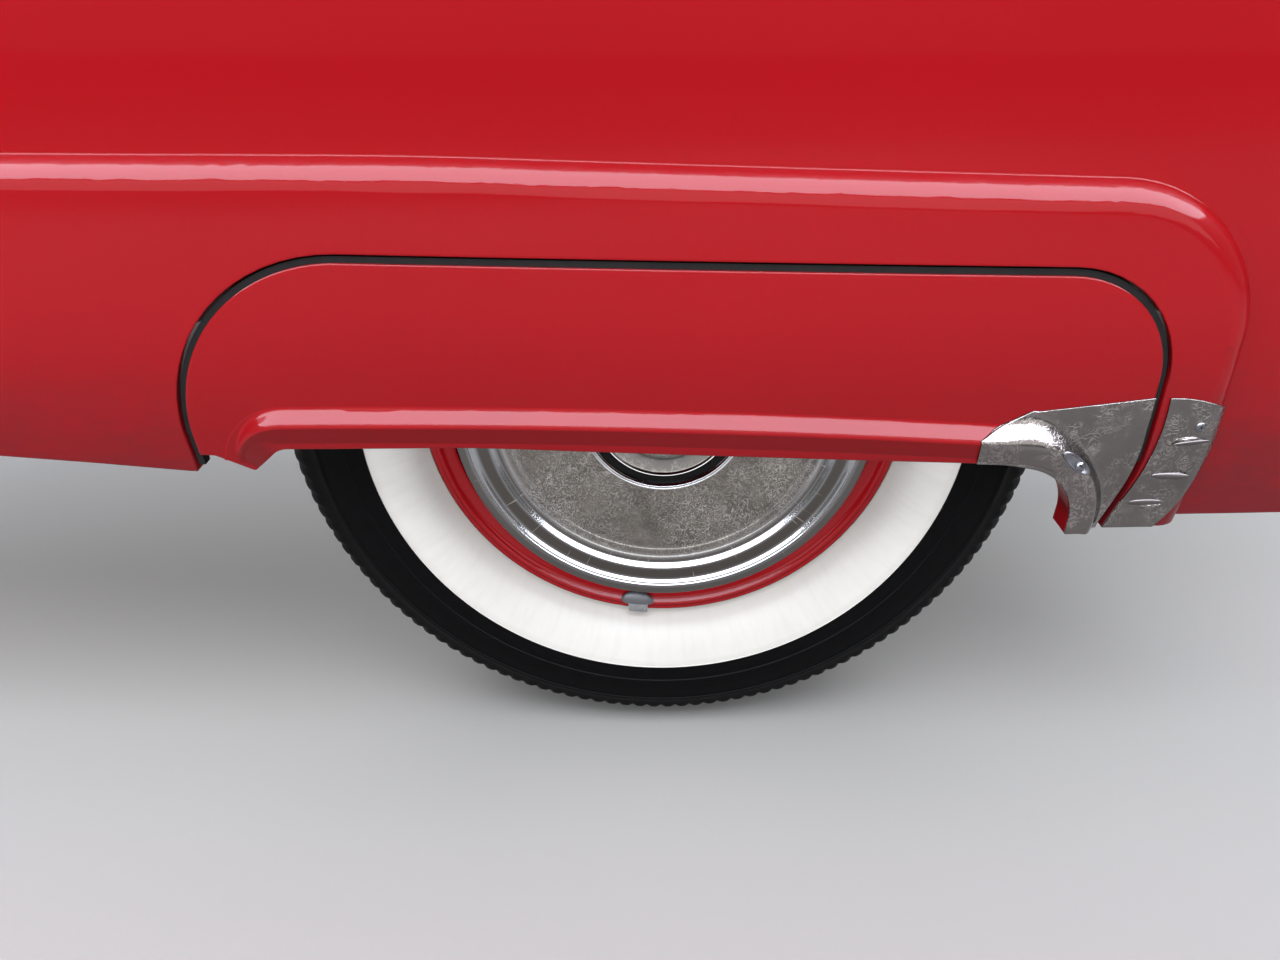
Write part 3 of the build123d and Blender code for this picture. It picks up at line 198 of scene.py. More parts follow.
# Brake pipe from the backing plate down to the axle tube, its run along the tube, clips and union
pipe_r = 0.0026
over_tube = (0.0, -0.2, 0.09)
pipe_drop = ((-0.064, -0.4535, 0.082), (-0.064, -0.425, 0.082), (-0.020, -0.410, 0.066), (-0.004, -0.360, 0.062),
             (0.0, -0.305, 0.058))
pipe_run = (-0.270, -0.200, -0.105)
pipe_end_y, pipe_end_rise = -0.085, 0.006
pipe_clips = (-0.245, -0.150)
pipe_clip_r = 0.0016
union_size = (0.022, 0.016, 0.018)
union_y, union_rise, union_edge_r = -0.078, 0.008, 0.002

# Tail lamp: its wiring's path, and the lens's depth and moulded rings
loom_path = ((-1.176, -0.580, 0.150), (-1.130, -0.560, 0.165), (-1.060, -0.560, 0.175), (-0.900, -0.556, 0.190),
             (-0.700, -0.548, 0.205), (-0.520, -0.520, 0.230), (-0.4050, -0.500, 0.262))
loom_r = 0.0042
lens_depth = 0.034
lens_shoulder = 0.985
lens_steps, lens_rings, lens_ring_rise = 72, 11, 0.0009

# Lights: place, aim, width and depth in metres, and power in watts for a lamp or radiance for a card
sky_lamp = ((-0.2, -2.2, 3.0), (-0.2, -0.65, 0.0), (5.4, 2.0), 95.0)
front_lamp = ((-0.6, -4.2, 1.0), (0.0, -0.6, 0.0), (5.0, 1.6), 75.0)
inner_lamp = ((-0.3, 3.6, 2.6), (-0.2, 0.0, 0.1), (4.0, 3.0), 75.0)
sky_card = ((0.0, -2.2, 3.0), (0.0, -2.2, 0.0), (12.0, 4.8), 13.0)
low_card = ((0.0, -5.2, 1.75), (0.0, 0.0, 1.75), (12.0, 2.3), 1.9)
white_light = (1.0, 1.0, 1.0)
sky_blue = (0.97, 1.0, 1.16)
world_colour = (0.97, 0.985, 1.0, 1.0)
world_strength = 0.40
floor_reach = 14.0
floor_colour = (0.46, 0.46, 0.455, 1.0)


# Small helpers for node materials
def blank_material(name, roughness, metallic=0.0):
    """A material with only its shader, and its node tree."""
    material = bpy.data.materials.new(name)
    material.use_nodes = True
    shader = material.node_tree.nodes["Principled BSDF"]
    set_sockets(shader, {"Roughness": roughness, "Metallic": metallic})
    return material, material.node_tree, shader


def add(tree, kind, **settings):
    """A node of one kind with its settings."""
    node = tree.nodes.new("ShaderNode" + kind)
    for key, value in settings.items():
        setattr(node, key, value)
    return node


def set_sockets(node, values):
    """Constants on a node's own sockets."""
    for name, value in values.items():
        node.inputs[name].default_value = value


def join(tree, source, target):
    """A link from one socket to another."""
    tree.links.new(source, target)


def maths(tree, operation, first, second=None, third=None):
    """A Math node; each operand is a socket or a number."""
    node = add(tree, "Math", operation=operation)
    for slot, value in enumerate((first, second, third)):
        if value is None:
            continue
        if isinstance(value, (int, float)):
            node.inputs[slot].default_value = value
        else:
            join(tree, value, node.inputs[slot])
    return node.outputs[0]


def place_in(tree):
    """Object coordinates."""
    return add(tree, "TexCoord").outputs["Object"]


def stretched(tree, source, stretch):
    """Coordinates stretched along each axis."""
    mapping = add(tree, "Mapping")
    set_sockets(mapping, {"Scale": stretch})
    join(tree, source, mapping.inputs["Vector"])
    return mapping.outputs["Vector"]


def noise(tree, scale, detail, roughness=0.5, vector=None, stretch=None, twist=0.0):
    """Noise on Object coordinates, stretched where a grain needs it."""
    node = add(tree, "TexNoise")
    set_sockets(node, {"Scale": scale, "Detail": detail, "Roughness": roughness, "Distortion": twist})
    source = vector or place_in(tree)
    if stretch:
        source = stretched(tree, source, stretch)
    join(tree, source, node.inputs["Vector"])
    return node.outputs["Fac"]


def ramp(tree, value, stops):
    """A colour ramp over stops of (place, colour), or of (place, level) for a grey."""
    node = add(tree, "ValToRGB")
    elements = node.color_ramp.elements
    while len(elements) < len(stops):
        elements.new(0.5)
    for element, (place, colour) in zip(elements, stops):
        element.position = place
        element.color = (*((colour,) * 3 if isinstance(colour, (int, float)) else colour), 1.0)
    join(tree, value, node.inputs["Fac"])
    return node.outputs["Color"]


def blend(tree, amount, first, second, mode="MIX"):
    """Two colours mixed by an amount; each is a socket or a colour."""
    node = add(tree, "Mix", data_type="RGBA", blend_type=mode)
    for socket, value in zip((node.inputs[0], node.inputs[6], node.inputs[7]), (amount, first, second)):
        if isinstance(value, (int, float)):
            socket.default_value = value
        elif isinstance(value, tuple):
            socket.default_value = (*value, 1.0)
        else:
            join(tree, value, socket)
    return node.outputs[2]


def bump(tree, shader, height, strength, distance, rolled=0.0):
    """Bump on the shader's normal and its coat's; a rolled radius softens the sheet's edges first."""
    node = add(tree, "Bump")
    set_sockets(node, {"Strength": strength, "Distance": distance})
    join(tree, height, node.inputs["Height"])
    if rolled:
        edge = add(tree, "Bevel", samples=8)
        set_sockets(edge, {"Radius": rolled})
        join(tree, edge.outputs["Normal"], node.inputs["Normal"])
    join(tree, node.outputs["Normal"], shader.inputs["Normal"])
    join(tree, node.outputs["Normal"], shader.inputs["Coat Normal"])


def scaled(colour, factor):
    """A colour made darker or paler by one factor, up to white."""
    return tuple(min(1.0, c * factor) for c in colour)


def curly_line(tree, scale, twist):
    """Curly lines that run where a twisted noise crosses its middle."""
    return maths(tree, "ABSOLUTE", maths(tree, "SUBTRACT", noise(tree, scale, 2.0, twist=twist), 0.5))


def split_place(tree):
    """X, Y and Z of the Object coordinates."""
    split = add(tree, "SeparateXYZ")
    join(tree, place_in(tree), split.inputs["Vector"])
    return split.outputs["X"], split.outputs["Y"], split.outputs["Z"]


def wheel_polar(tree):
    """Distance from the wheel's axis, and the angle round it."""
    x, _, z = split_place(tree)
    squares = maths(tree, "ADD", maths(tree, "MULTIPLY", x, x), maths(tree, "MULTIPLY", z, z))
    return maths(tree, "SQRT", squares), maths(tree, "ARCTAN2", z, x)


def polar_noise(tree, radius, angle, round_scale, across_scale, detail, roughness=0.5):
    """Noise over angle and radius, for marks that run round or across the wheel."""
    place = add(tree, "CombineXYZ")
    join(tree, maths(tree, "MULTIPLY", angle, round_scale), place.inputs["X"])
    join(tree, maths(tree, "MULTIPLY", radius, across_scale), place.inputs["Y"])
    return noise(tree, 1.0, detail, roughness, vector=place.outputs["Vector"])


# Finishes
def paint_red(name="body_red_paint", deep=1.0, low_shade=1.0):
    """Body paint: deep red under a clear coat with some orange peel, with painted shade where it faces down and low
    down.
    """
    material, tree, shader = blank_material(name, roughness=0.42)
    haze = noise(tree, 2.2, 4.0)
    low, high = scaled((0.355, 0.0028, 0.0068), deep), scaled((0.385, 0.0034, 0.0080), deep)
    colour = ramp(tree, haze, [(0.3, low), (0.7, high)])
    # Painted shade: the red is darkened where the surface faces down and the body tucks under.
    facing = add(tree, "SeparateXYZ")
    join(tree, add(tree, "NewGeometry").outputs["Normal"], facing.inputs["Vector"])
    under = ramp(tree, maths(tree, "ADD", facing.outputs["Z"], 0.5), [(0.33, 0.50), (0.49, 1.0)])
    colour = blend(tree, 1.0, colour, under, "MULTIPLY")
    # Painted shade low down: the red turns darker towards the road in noisy patches, where the lower panels tuck
    # under.
    if low_shade:
        _, _, height = split_place(tree)
        near_road = maths(tree, "MULTIPLY_ADD", height, -7.0, 0.80)
        film = maths(tree, "MULTIPLY", near_road, noise(tree, 11.0, 6.0, 0.7, stretch=(1.0, 1.0, 2.5)))
        cover = ramp(tree, film, [(0.16, 0.0), (0.62, 0.80 * low_shade)])
        colour = blend(tree, cover, colour, (0.135, 0.011, 0.015))
    join(tree, colour, shader.inputs["Base Color"])
    set_sockets(shader, {"Specular IOR Level": 0.02, "Coat Weight": 0.36, "Coat IOR": 1.5, "Coat Roughness": 0.05})
    wave = noise(tree, 9.0, 1.0)
    peel = noise(tree, 240.0, 1.0)
    bump(tree, shader, maths(tree, "MULTIPLY_ADD", peel, 0.05, wave), 0.012, 0.002, 0.0028)
    return material


def rubber_black(name="gasket_rubber", level=0.006):
    """Dull black rubber."""
    material, tree, shader = blank_material(name, roughness=0.62)
    grain = noise(tree, 120.0, 4.0)
    join(tree, ramp(tree, grain, [(0.3, level * 0.7), (0.8, level * 1.5)]), shader.inputs["Base Color"])
    set_sockets(shader, {"Specular IOR Level": 0.2})
    bump(tree, shader, grain, 0.2, 0.0006)
    return material


def tyre_black():
    """Sidewall and tread rubber: satin black, with grey dust in the tread and faint moulding marks."""
    material, tree, shader = blank_material("tyre_black_rubber", roughness=0.55)
    radius, angle = wheel_polar(tree)
    marks = polar_noise(tree, radius, angle, 18.0, 420.0, 3.0)
    grain = noise(tree, 260.0, 4.0)
    side = ramp(tree, marks, [(0.3, 0.0010), (0.75, (0.0026, 0.0026, 0.0032))])
    dust = noise(tree, 70.0, 5.0, 0.7)
    tread = ramp(tree, dust, [(0.35, (0.0035, 0.0034, 0.0033)), (0.8, (0.013, 0.0125, 0.012))])
    on_tread = ramp(tree, radius, [(0.318, 0.0), (0.334, 0.8)])
    join(tree, blend(tree, on_tread, side, tread), shader.inputs["Base Color"])
    join(tree, ramp(tree, marks, [(0.25, 0.46), (0.8, 0.64)]), shader.inputs["Roughness"])
    set_sockets(shader, {"Specular IOR Level": 0.05})
    bump(tree, shader, maths(tree, "MULTIPLY_ADD", marks, 0.6, grain), 0.14, 0.0008)
    return material


def tyre_white():
    """Whitewall: warm off-white with a greyer foot and faint rubbed stains."""
    material, tree, shader = blank_material("whitewall_rubber", roughness=0.46)
    radius, angle = wheel_polar(tree)
    cloud = noise(tree, 9.0, 5.0, 0.6)
    across = polar_noise(tree, radius, angle, 34.0, 26.0, 4.0, 0.6)
    clean = ramp(tree, cloud, [(0.3, (0.73, 0.725, 0.70)), (0.7, (0.78, 0.775, 0.755))])
    stain = ramp(tree, across, [(0.45, 0.0), (0.85, 0.30)])
    colour = blend(tree, stain, clean, (0.60, 0.575, 0.51))
    foot = ramp(tree, radius, [(0.2115, 0.55), (0.2175, 0.08), (0.250, 0.0), (0.2575, 0.22)])
    join(tree, blend(tree, foot, colour, (0.42, 0.395, 0.35)), shader.inputs["Base Color"])
    set_sockets(shader, {"Specular IOR Level": 0.15})
    bump(tree, shader, noise(tree, 150.0, 3.0), 0.05, 0.0006)
    return material


def worn_metal(name, tint, roughness, dent, dent_scale, scuff, rolled=0.0):
    """Bright sheet metal dulled by the road: shallow dents, curly scuffs and a cloudy film."""
    material, tree, shader = blank_material(name, roughness=roughness, metallic=1.0)
    cloud = noise(tree, 16.0, 6.0, 0.65)
    line = curly_line(tree, 78.0, 3.2)
    patch = ramp(tree, noise(tree, 55.0, 2.0), [(0.41, 0.0), (0.56, 1.0)])
    scratch = maths(tree, "MULTIPLY", ramp(tree, line, [(0.014, 1.0), (0.060, 0.0)]), patch)
    colour = ramp(tree, cloud, [(0.3, scaled(tint, 0.72)), (0.72, tint)])
    amount = maths(tree, "MULTIPLY", maths(tree, "MULTIPLY", scratch, cloud), scuff)
    join(tree, blend(tree, amount, colour, scaled(tint, 2.3)), shader.inputs["Base Color"])
    join(tree, ramp(tree, cloud, [(0.25, roughness * 1.35), (0.8, roughness * 0.75)]), shader.inputs["Roughness"])
    dents = noise(tree, dent_scale, 2.0, twist=1.6)
    height = maths(tree, "MULTIPLY_ADD", scratch, -0.5 * scuff, dents)
    bump(tree, shader, height, dent, 0.0022, rolled)
    return material


def shield_metal(name="gravel_shield_metal", dent=0.40):
    """Bright metal of the gravel shields, dulled by stones and with its edges rolled over."""
    return worn_metal(name, (0.185, 0.168, 0.160), 0.17, dent, dent_scale=92.0, scuff=1.0, rolled=0.0014)


def cover_metal():
    """Wheel cover: satin disc with curly hairlines, a polished band painted darker as a painted reflection of dark
    surroundings, with cross marks, and rolls painted paler as painted highlights.
    """
    material, tree, shader = blank_material("cover_satin_metal", roughness=0.3, metallic=1.0)
    radius, angle = wheel_polar(tree)
    cloud = noise(tree, 26.0, 6.0, 0.7)
    disc = ramp(tree, cloud, [(0.25, (0.095, 0.086, 0.073)), (0.75, (0.235, 0.218, 0.193))])
    hair = ramp(tree, curly_line(tree, 108.0, 3.6), [(0.010, 1.0), (0.052, 0.0)])
    worn = ramp(tree, noise(tree, 16.0, 4.0), [(0.38, 0.15), (0.66, 0.80)])
    disc = blend(tree, maths(tree, "MULTIPLY", hair, worn), disc, (0.62, 0.60, 0.55))
    # Painted reflection: the polished band's base is painted dark for the dark surroundings it mirrors, and its cross
    # marks are paler.
    ticks = polar_noise(tree, radius, angle, 46.0, 22.0, 2.0)
    tick = ramp(tree, ticks, [(0.70, 0.0), (0.74, 0.85)])
    band = blend(tree, tick, (0.105, 0.098, 0.088), (0.48, 0.45, 0.40))
    # Painted highlights: the rolls are painted paler by radius, in place of the lines of light they catch.
    rolls = ramp(tree, radius, cover_roll_highlights)
    in_band = ramp(tree, radius, [(0.1452, 0.0), (0.1460, 1.0)])
    base = blend(tree, in_band, disc, band)
    join(tree, blend(tree, rolls, base, (0.32, 0.32, 0.325)), shader.inputs["Base Color"])
    smooth = ramp(tree, radius, [(0.1345, 0.34), (0.1355, 0.14), (0.1700, 0.10), (0.1745, 0.32)])
    join(tree, smooth, shader.inputs["Roughness"])
    soft = noise(tree, 38.0, 3.0)
    bump(tree, shader, maths(tree, "MULTIPLY_ADD", hair, -0.12, soft), 0.10, 0.0012)
    return material


def polished(name, tint, roughness):
    """Plated metal, polished, with a faint ripple and pin-prick pits."""
    material, tree, shader = blank_material(name, roughness=roughness, metallic=1.0)
    cloud = noise(tree, 24.0, 4.0)
    join(tree, ramp(tree, cloud, [(0.3, scaled(tint, 0.9)), (0.75, tint)]), shader.inputs["Base Color"])
    pits = noise(tree, 90.0, 5.0, 0.7)
    join(tree, ramp(tree, pits, [(0.35, roughness * 0.7), (0.85, roughness * 2.6)]), shader.inputs["Roughness"])
    bump(tree, shader, noise(tree, 30.0, 2.0), 0.04, 0.002)
    return material


def enamel_black():
    """Gloss black enamel in the cover's groove."""
    material, tree, shader = blank_material("groove_black_enamel", roughness=0.16)
    join(tree, ramp(tree, noise(tree, 140.0, 4.0), [(0.4, 0.0015), (0.8, 0.004)]), shader.inputs["Base Color"])
    set_sockets(shader, {"Specular IOR Level": 0.06})
    return material


def chassis_paint(name, colour, roughness, dust=1.0, gloss=0.5):
    """Brushed-on chassis paint with dust in its low places."""
    material, tree, shader = blank_material(name, roughness=roughness)
    film = noise(tree, 7.0, 6.0, 0.65)
    pale = tuple(min(1.0, c * (1.0 + 0.6 * dust) + 0.03 * dust) for c in colour)
    join(tree, ramp(tree, film, [(0.42, colour), (0.78, pale)]), shader.inputs["Base Color"])
    join(tree, ramp(tree, film, [(0.3, roughness * 0.8), (0.8, min(1.0, roughness * 1.5))]),
         shader.inputs["Roughness"])
    set_sockets(shader, {"Specular IOR Level": gloss})
    bump(tree, shader, noise(tree, 60.0, 4.0), 0.15, 0.0008)
    return material


def rusted_iron():
    """Brake drum iron: turned marks under a thin film of rust."""
    material, tree, shader = blank_material("drum_cast_iron", roughness=0.6, metallic=0.4)
    film = noise(tree, 22.0, 6.0, 0.7)
    rust = ramp(tree, film, [(0.38, (0.085, 0.075, 0.068)), (0.62, (0.13, 0.07, 0.04)), (0.8, (0.20, 0.095, 0.045))])
    join(tree, rust, shader.inputs["Base Color"])
    bump(tree, shader, noise(tree, 90.0, 5.0), 0.3, 0.0008)
    return material


def lamp_red():
    """Moulded red lamp lens."""
    material, tree, shader = blank_material("lamp_red_lens", roughness=0.08)
    cloud = noise(tree, 18.0, 2.0)
    colour = ramp(tree, cloud, [(0.3, (0.42, 0.004, 0.008)), (0.8, (0.55, 0.010, 0.012))])
    join(tree, colour, shader.inputs["Base Color"])
    set_sockets(shader, {"Coat Weight": 1.0, "Coat Roughness": 0.02, "Subsurface Weight": 0.25,
                         "Subsurface Radius": (0.02, 0.002, 0.002), "Subsurface Scale": 0.5})
    return material


# Mesh helpers
def in_scene(name, data):
    """An object for a mesh, a lamp or a camera, linked to the scene."""
    holder = bpy.data.objects.new(name, data)
    bpy.context.scene.collection.objects.link(holder)
    return holder


def finish_mesh(work, name, body, materials, smooth, replaced=()):
    """An object at the origin from a bmesh, smooth up to an angle, riding on its body."""
    bmesh.ops.remove_doubles(work, verts=work.verts, dist=merge_reach)
    bmesh.ops.recalc_face_normals(work, faces=work.faces)
    limit = math.radians(smooth)
    for face in work.faces:
        face.smooth = True
    for edge in work.edges:
        edge.smooth = len(edge.link_faces) != 2 or edge.calc_face_angle(0.0) < limit
    mesh = bpy.data.meshes.new(name)
    work.to_mesh(mesh)
    work.free()
    for material in materials:
        mesh.materials.append(material)
    piece = in_scene(name, mesh)
    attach(piece, body)
    if replaced:
        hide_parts(*replaced)
    return piece


def chain(work, points, closed=False):
    """Vertices joined one after another."""
    verts = [work.verts.new(point) for point in points]
    edges = [work.edges.new(pair) for pair in zip(verts, verts[1:])]
    if closed:
        edges.append(work.edges.new((verts[-1], verts[0])))
    return verts + edges


def turn(work, geometry, steps, centre=(0.0, 0.0, 0.0), axis=(0.0, 1.0, 0.0)):
    """Geometry spun once round an axis."""
    bmesh.ops.spin(work, geom=geometry, cent=centre, axis=axis, angle=2 * math.pi, steps=steps, use_merge=True,
                   use_duplicate=False)
    bmesh.ops.remove_doubles(work, verts=work.verts, dist=merge_reach)


def rounded_block(work, size, place, edge_r, segments):
    """A block with rounded edges."""
    verts = bmesh.ops.create_cube(work, size=1.0)["verts"]
    bmesh.ops.scale(work, verts=verts, vec=size)
    bmesh.ops.translate(work, verts=verts, vec=place)
    edges = list({edge for vert in verts for edge in vert.link_edges})
    bmesh.ops.bevel(work, geom=edges, offset=edge_r, offset_type="OFFSET", segments=segments, profile=0.5,
                    affect="EDGES", material=-1)


def face_place(face):
    """A face's middle, and its distance from the wheel's axis in mm."""
    centre = face.calc_center_median()
    return centre, math.hypot(centre.x, centre.z) / mm


def on_surface(piece, x, z):
    """Point and outward normal of a piece's outer side at a place seen from the car's side."""
    _, point, normal, _ = piece.ray_cast(Vector((x, view_side, z)), -Vector(outward))
    return point, normal


def set_on(work, verts, point, normal, along=Vector((1.0, 0.0, 0.0))):
    """Moves a shape made round the origin, standing along +Z, on to a surface point."""
    up = normal.normalized()
    side = (along - up * along.dot(up)).normalized()
    turn_to = Matrix((side, up.cross(side), up)).transposed().to_4x4()
    bmesh.ops.transform(work, matrix=Matrix.Translation(point) @ turn_to, verts=verts)


# Wheel
def make_tyre():
    """Tyre: one section spun round the axle, then zigzag grooves and cut shoulders worked into the tread."""
    half = [*tyre_half, *tread_half]
    outer = [(r, -w) for r, w in half]
    inner = [(r, w) for r, w in reversed(half)]
    lining = [(r, w) for r, w in tyre_lining] + [(r, -w) for r, w in reversed(tyre_lining)]
    section = outer + inner + lining
    work = bmesh.new()
    loop = chain(work, [(r * mm, wheel_y + w * mm, 0.0) for r, w in section], closed=True)
    turn(work, loop, tyre_steps)
    step = 2 * math.pi / tyre_steps
    for vert in work.verts:
        r = math.hypot(vert.co.x, vert.co.z)
        column = round(math.atan2(vert.co.z, vert.co.x) / step)
        across = vert.co.y - wheel_y
        if r > tread_r * mm and abs(across) < tread_half_width * mm:
            vert.co.y += tread_zigzag[column % len(tread_zigzag)]
        if r > shoulder_r * mm and abs(across) > shoulder_from * mm and column % 3 == 0:
            drop = shoulder_drop if r < shoulder_edge_r * mm else edge_drop
            vert.co.x *= 1.0 - drop / r
            vert.co.z *= 1.0 - drop / r
            vert.co.y -= math.copysign(shoulder_tuck, across)
    for face in work.faces:
        centre, r = face_place(face)
        if centre.y < wheel_y - white_from * mm and white_foot_r < r < white_r:
            face.material_index = 1
    finish_mesh(work, "whitewall_tyre", "wheel", [tyre_black(), tyre_white()], 32.0, ["tyre"])


def make_cover():
    """Wheel cover spun from its section, with a sheet's thickness behind it."""
    front = [(r, cover_face_y - cover_lift * mm + depth * mm) for r, depth in cover_front]
    back = [(r - (cover_sheet if depth > cover_turn_depth and r > cover_edge_r else 0.0),
             y + (0.0 if depth > cover_tail_depth and r > cover_edge_r else cover_sheet * mm))
            for (r, depth), (_, y) in zip(cover_front, front)]
    work = bmesh.new()
    section = [(r * mm, y, 0.0) for r, y in front + back[::-1]]
    turn(work, chain(work, section, closed=True), cover_steps)
    finish_mesh(work, "cover_disc", "wheel", [cover_metal()], 50.0, ["wheel_cover"])


def make_rim_lip():
    """Enamelled front of the rim: a cove, a raised bead and a fine outer roll."""
    work = bmesh.new()
    turn(work, chain(work, [(r * mm, lip_y - rise * mm, 0.0) for r, rise in rim_front]), cover_steps)
    finish_mesh(work, "rim_enamelled_lip", "wheel", [paint_red("rim_lip_red_paint", 0.9, low_shade=0.0)], 60.0)


def make_cover_centre():
    """Raised middle of the cover: two bright rings with black enamel between them, and a satin bowl."""
    work = bmesh.new()
    section = [(0.0, centre_base_y, 0.0), *[(r * mm, centre_base_y - rise * mm, 0.0) for r, rise in centre_front]]
    turn(work, chain(work, section), cover_steps // 2)
    for face in work.faces:
        _, r = face_place(face)
        if black_ring[0] < r < black_ring[1]:
            face.material_index = 1
        elif r < bowl_r:
            face.material_index = 2
    finish_mesh(work, "cover_middle", "wheel",
                [polished("cover_ring_chrome", (0.55, 0.55, 0.56), 0.05), enamel_black(),
                 worn_metal("cover_bowl_metal", (0.34, 0.325, 0.30), 0.26, dent=0.12, dent_scale=60.0, scuff=0.7)],
                50.0, ["cover_centre"])


def make_weight():
    """Balance weight: a cast lead cushion that follows the rim, and its steel clip over the lip."""
    low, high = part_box("balance_weight")
    middle = (low + high) / 2
    half_x, half_y, half_z = cushion_half
    work = bmesh.new()
    for vert in bmesh.ops.create_uvsphere(work, u_segments=56, v_segments=28, radius=1.0)["verts"]:
        x, y, z = vert.co
        lower = 0.45 if z < 0 else 1.0
        vert.co = (x * half_x, y * half_y * (1.0 - 0.35 * z * z), z * half_z * lower + cushion_crown * (1.0 - x * x))
    rounded_block(work, clip_size, clip_place, clip_edge_r, 3)
    bmesh.ops.subdivide_edges(work, edges=[e for e in work.edges if e.calc_length() > 0.010], cuts=6,
                              use_grid_fill=True)
    for vert in work.verts:
        vert.co.x += weight_shift
        vert.co.z += weight_lip_r - math.sqrt(weight_lip_r ** 2 - vert.co.x ** 2)
        vert.co += Vector((middle.x, lip_y - weight_inset, weight_z))
    for face in work.faces:
        centre, _ = face_place(face)
        if centre.y < lip_y - clip_front and centre.z < clip_top_z:
            face.material_index = 1
    finish_mesh(work, "rim_balance_weight", "wheel",
                [chassis_paint("weight_lead", (0.085, 0.09, 0.10), 0.36, 1.2),
                 worn_metal("weight_clip_steel", (0.36, 0.38, 0.38), 0.34, dent=0.2, dent_scale=90.0, scuff=0.5)],
                45.0, ["balance_weight"])


# Flared lip of the skirt: one surface that flows from the skirt over the crest to its lower face
def circle_through(first, second, third):
    """Centre and radius of the circle through three points of a plane."""
    (ax, ay), (bx, by), (cx, cy) = first, second, third
    d = 2 * (ax * (by - cy) + bx * (cy - ay) + cx * (ay - by))
    sums = [x * x + y * y for x, y in (first, second, third)]
    x = (sums[0] * (by - cy) + sums[1] * (cy - ay) + sums[2] * (ay - by)) / d
    y = (sums[0] * (cx - bx) + sums[1] * (ax - cx) + sums[2] * (bx - ax)) / d
    return (x, y), math.hypot(ax - x, ay - y)


def fender_y(x, z):
    """Where the raised fender's surface lies across the car, in mm."""
    (middle_y, middle_z), radius = circle_through(*fender_section)
    y_arc = middle_y - math.sqrt(radius ** 2 - (z - middle_z) ** 2)
    return plan_axis_y - math.sqrt((plan_axis_y - y_arc) ** 2 - (x - plan_x) ** 2)


def arc_points(centre, start, turned, count):
    """Points from a start round a centre."""
    x, y = start[0] - centre[0], start[1] - centre[1]
    return [(centre[0] + x * math.cos(a) - y * math.sin(a), centre[1] + x * math.sin(a) + y * math.cos(a))
            for a in (turned * i / count for i in range(count + 1))]


def leaving_arc(start, heading, end, count):
    """Points on the arc that leaves a start along a heading and ends at a place."""
    chord = Vector(end) - Vector(start)
    normal = Vector((-heading.y, heading.x))
    radius = chord.length_squared / (2 * chord.dot(normal))
    centre = Vector(start) + normal * radius
    return arc_points(centre, start, -2 * heading.angle_signed(chord), count)


def crest_line():
    """Places along the lip's crest from its tail to its foot, each with its heading."""
    centre, _ = circle_through(lip_rear, lip_mid, lip_front)
    rear_steps, long_steps, front_steps = crest_steps
    angles = [math.atan2(z - centre[1], x - centre[0]) for x, z in (lip_rear, lip_front)]
    long_arc = arc_points(centre, lip_rear, angles[1] - angles[0], long_steps)
    leave = Vector(long_arc[1]) - Vector(long_arc[0])
    arrive = Vector(long_arc[-1]) - Vector(long_arc[-2])
    rear_arc = leaving_arc(lip_rear, -leave.normalized(), lip_tail, rear_steps)
    front_arc = leaving_arc(lip_front, arrive.normalized(), lip_foot, front_steps)
    line = rear_arc[:0:-1] + long_arc + front_arc[1:]
    ahead = [Vector(b) - Vector(a) for a, b in zip(line, line[1:])]
    return list(zip(line, [ahead[0], *[(a + b) / 2 for a, b in zip(ahead, ahead[1:])], ahead[-1]]))


def smooth_least(first, second, width):
    """The lesser of two heights, with the corner between them rounded."""
    return min(first, second) - max(width - abs(first - second), 0.0) ** 2 / (4 * width)


def lip_rise(across, crest, slope, hollow):
    """Height of the lip over the fender's surface at a distance above its crest."""
    lip = smooth_least(crest + crest_gain * across, crest - slope * (across - crest_lap), crest_rounding)
    return -smooth_least(-lip, 0.0, hollow)


def flare_sheet(work, stations, lift, hollow, rows):
    """Sheet of the lip over stations of (place, heading, crest, slope, top, foot); its long edges sink in."""
    grid = []
    for (x, z), heading, crest, slope, top, foot in stations:
        up = Vector((-heading.y, heading.x)).normalized()
        line = []
        for i in range(rows + 1):
            across = top + (foot - top) * i / rows
            place = Vector((x, z)) + up * across
            rise = lip_rise(across, crest, slope, hollow) + (lift if 0 < i < rows else lift - edge_sink)
            base = fender_y(place.x, place.y) if across > 0 else fender_y(x, z)
            line.append(work.verts.new((place.x * mm, (base - rise) * mm, place.y * mm)))
        grid.append(line)
    for near, far_line in zip(grid, grid[1:]):
        for i in range(rows):
            work.faces.new((near[i], near[i + 1], far_line[i + 1], far_line[i]))


def cut_away(work, place, side):
    """Cuts off what lies on one side of a plane."""
    bmesh.ops.bisect_plane(work, geom=[*work.verts, *work.edges, *work.faces], dist=0.0000005,
                           plane_co=place, plane_no=side, clear_outer=True)


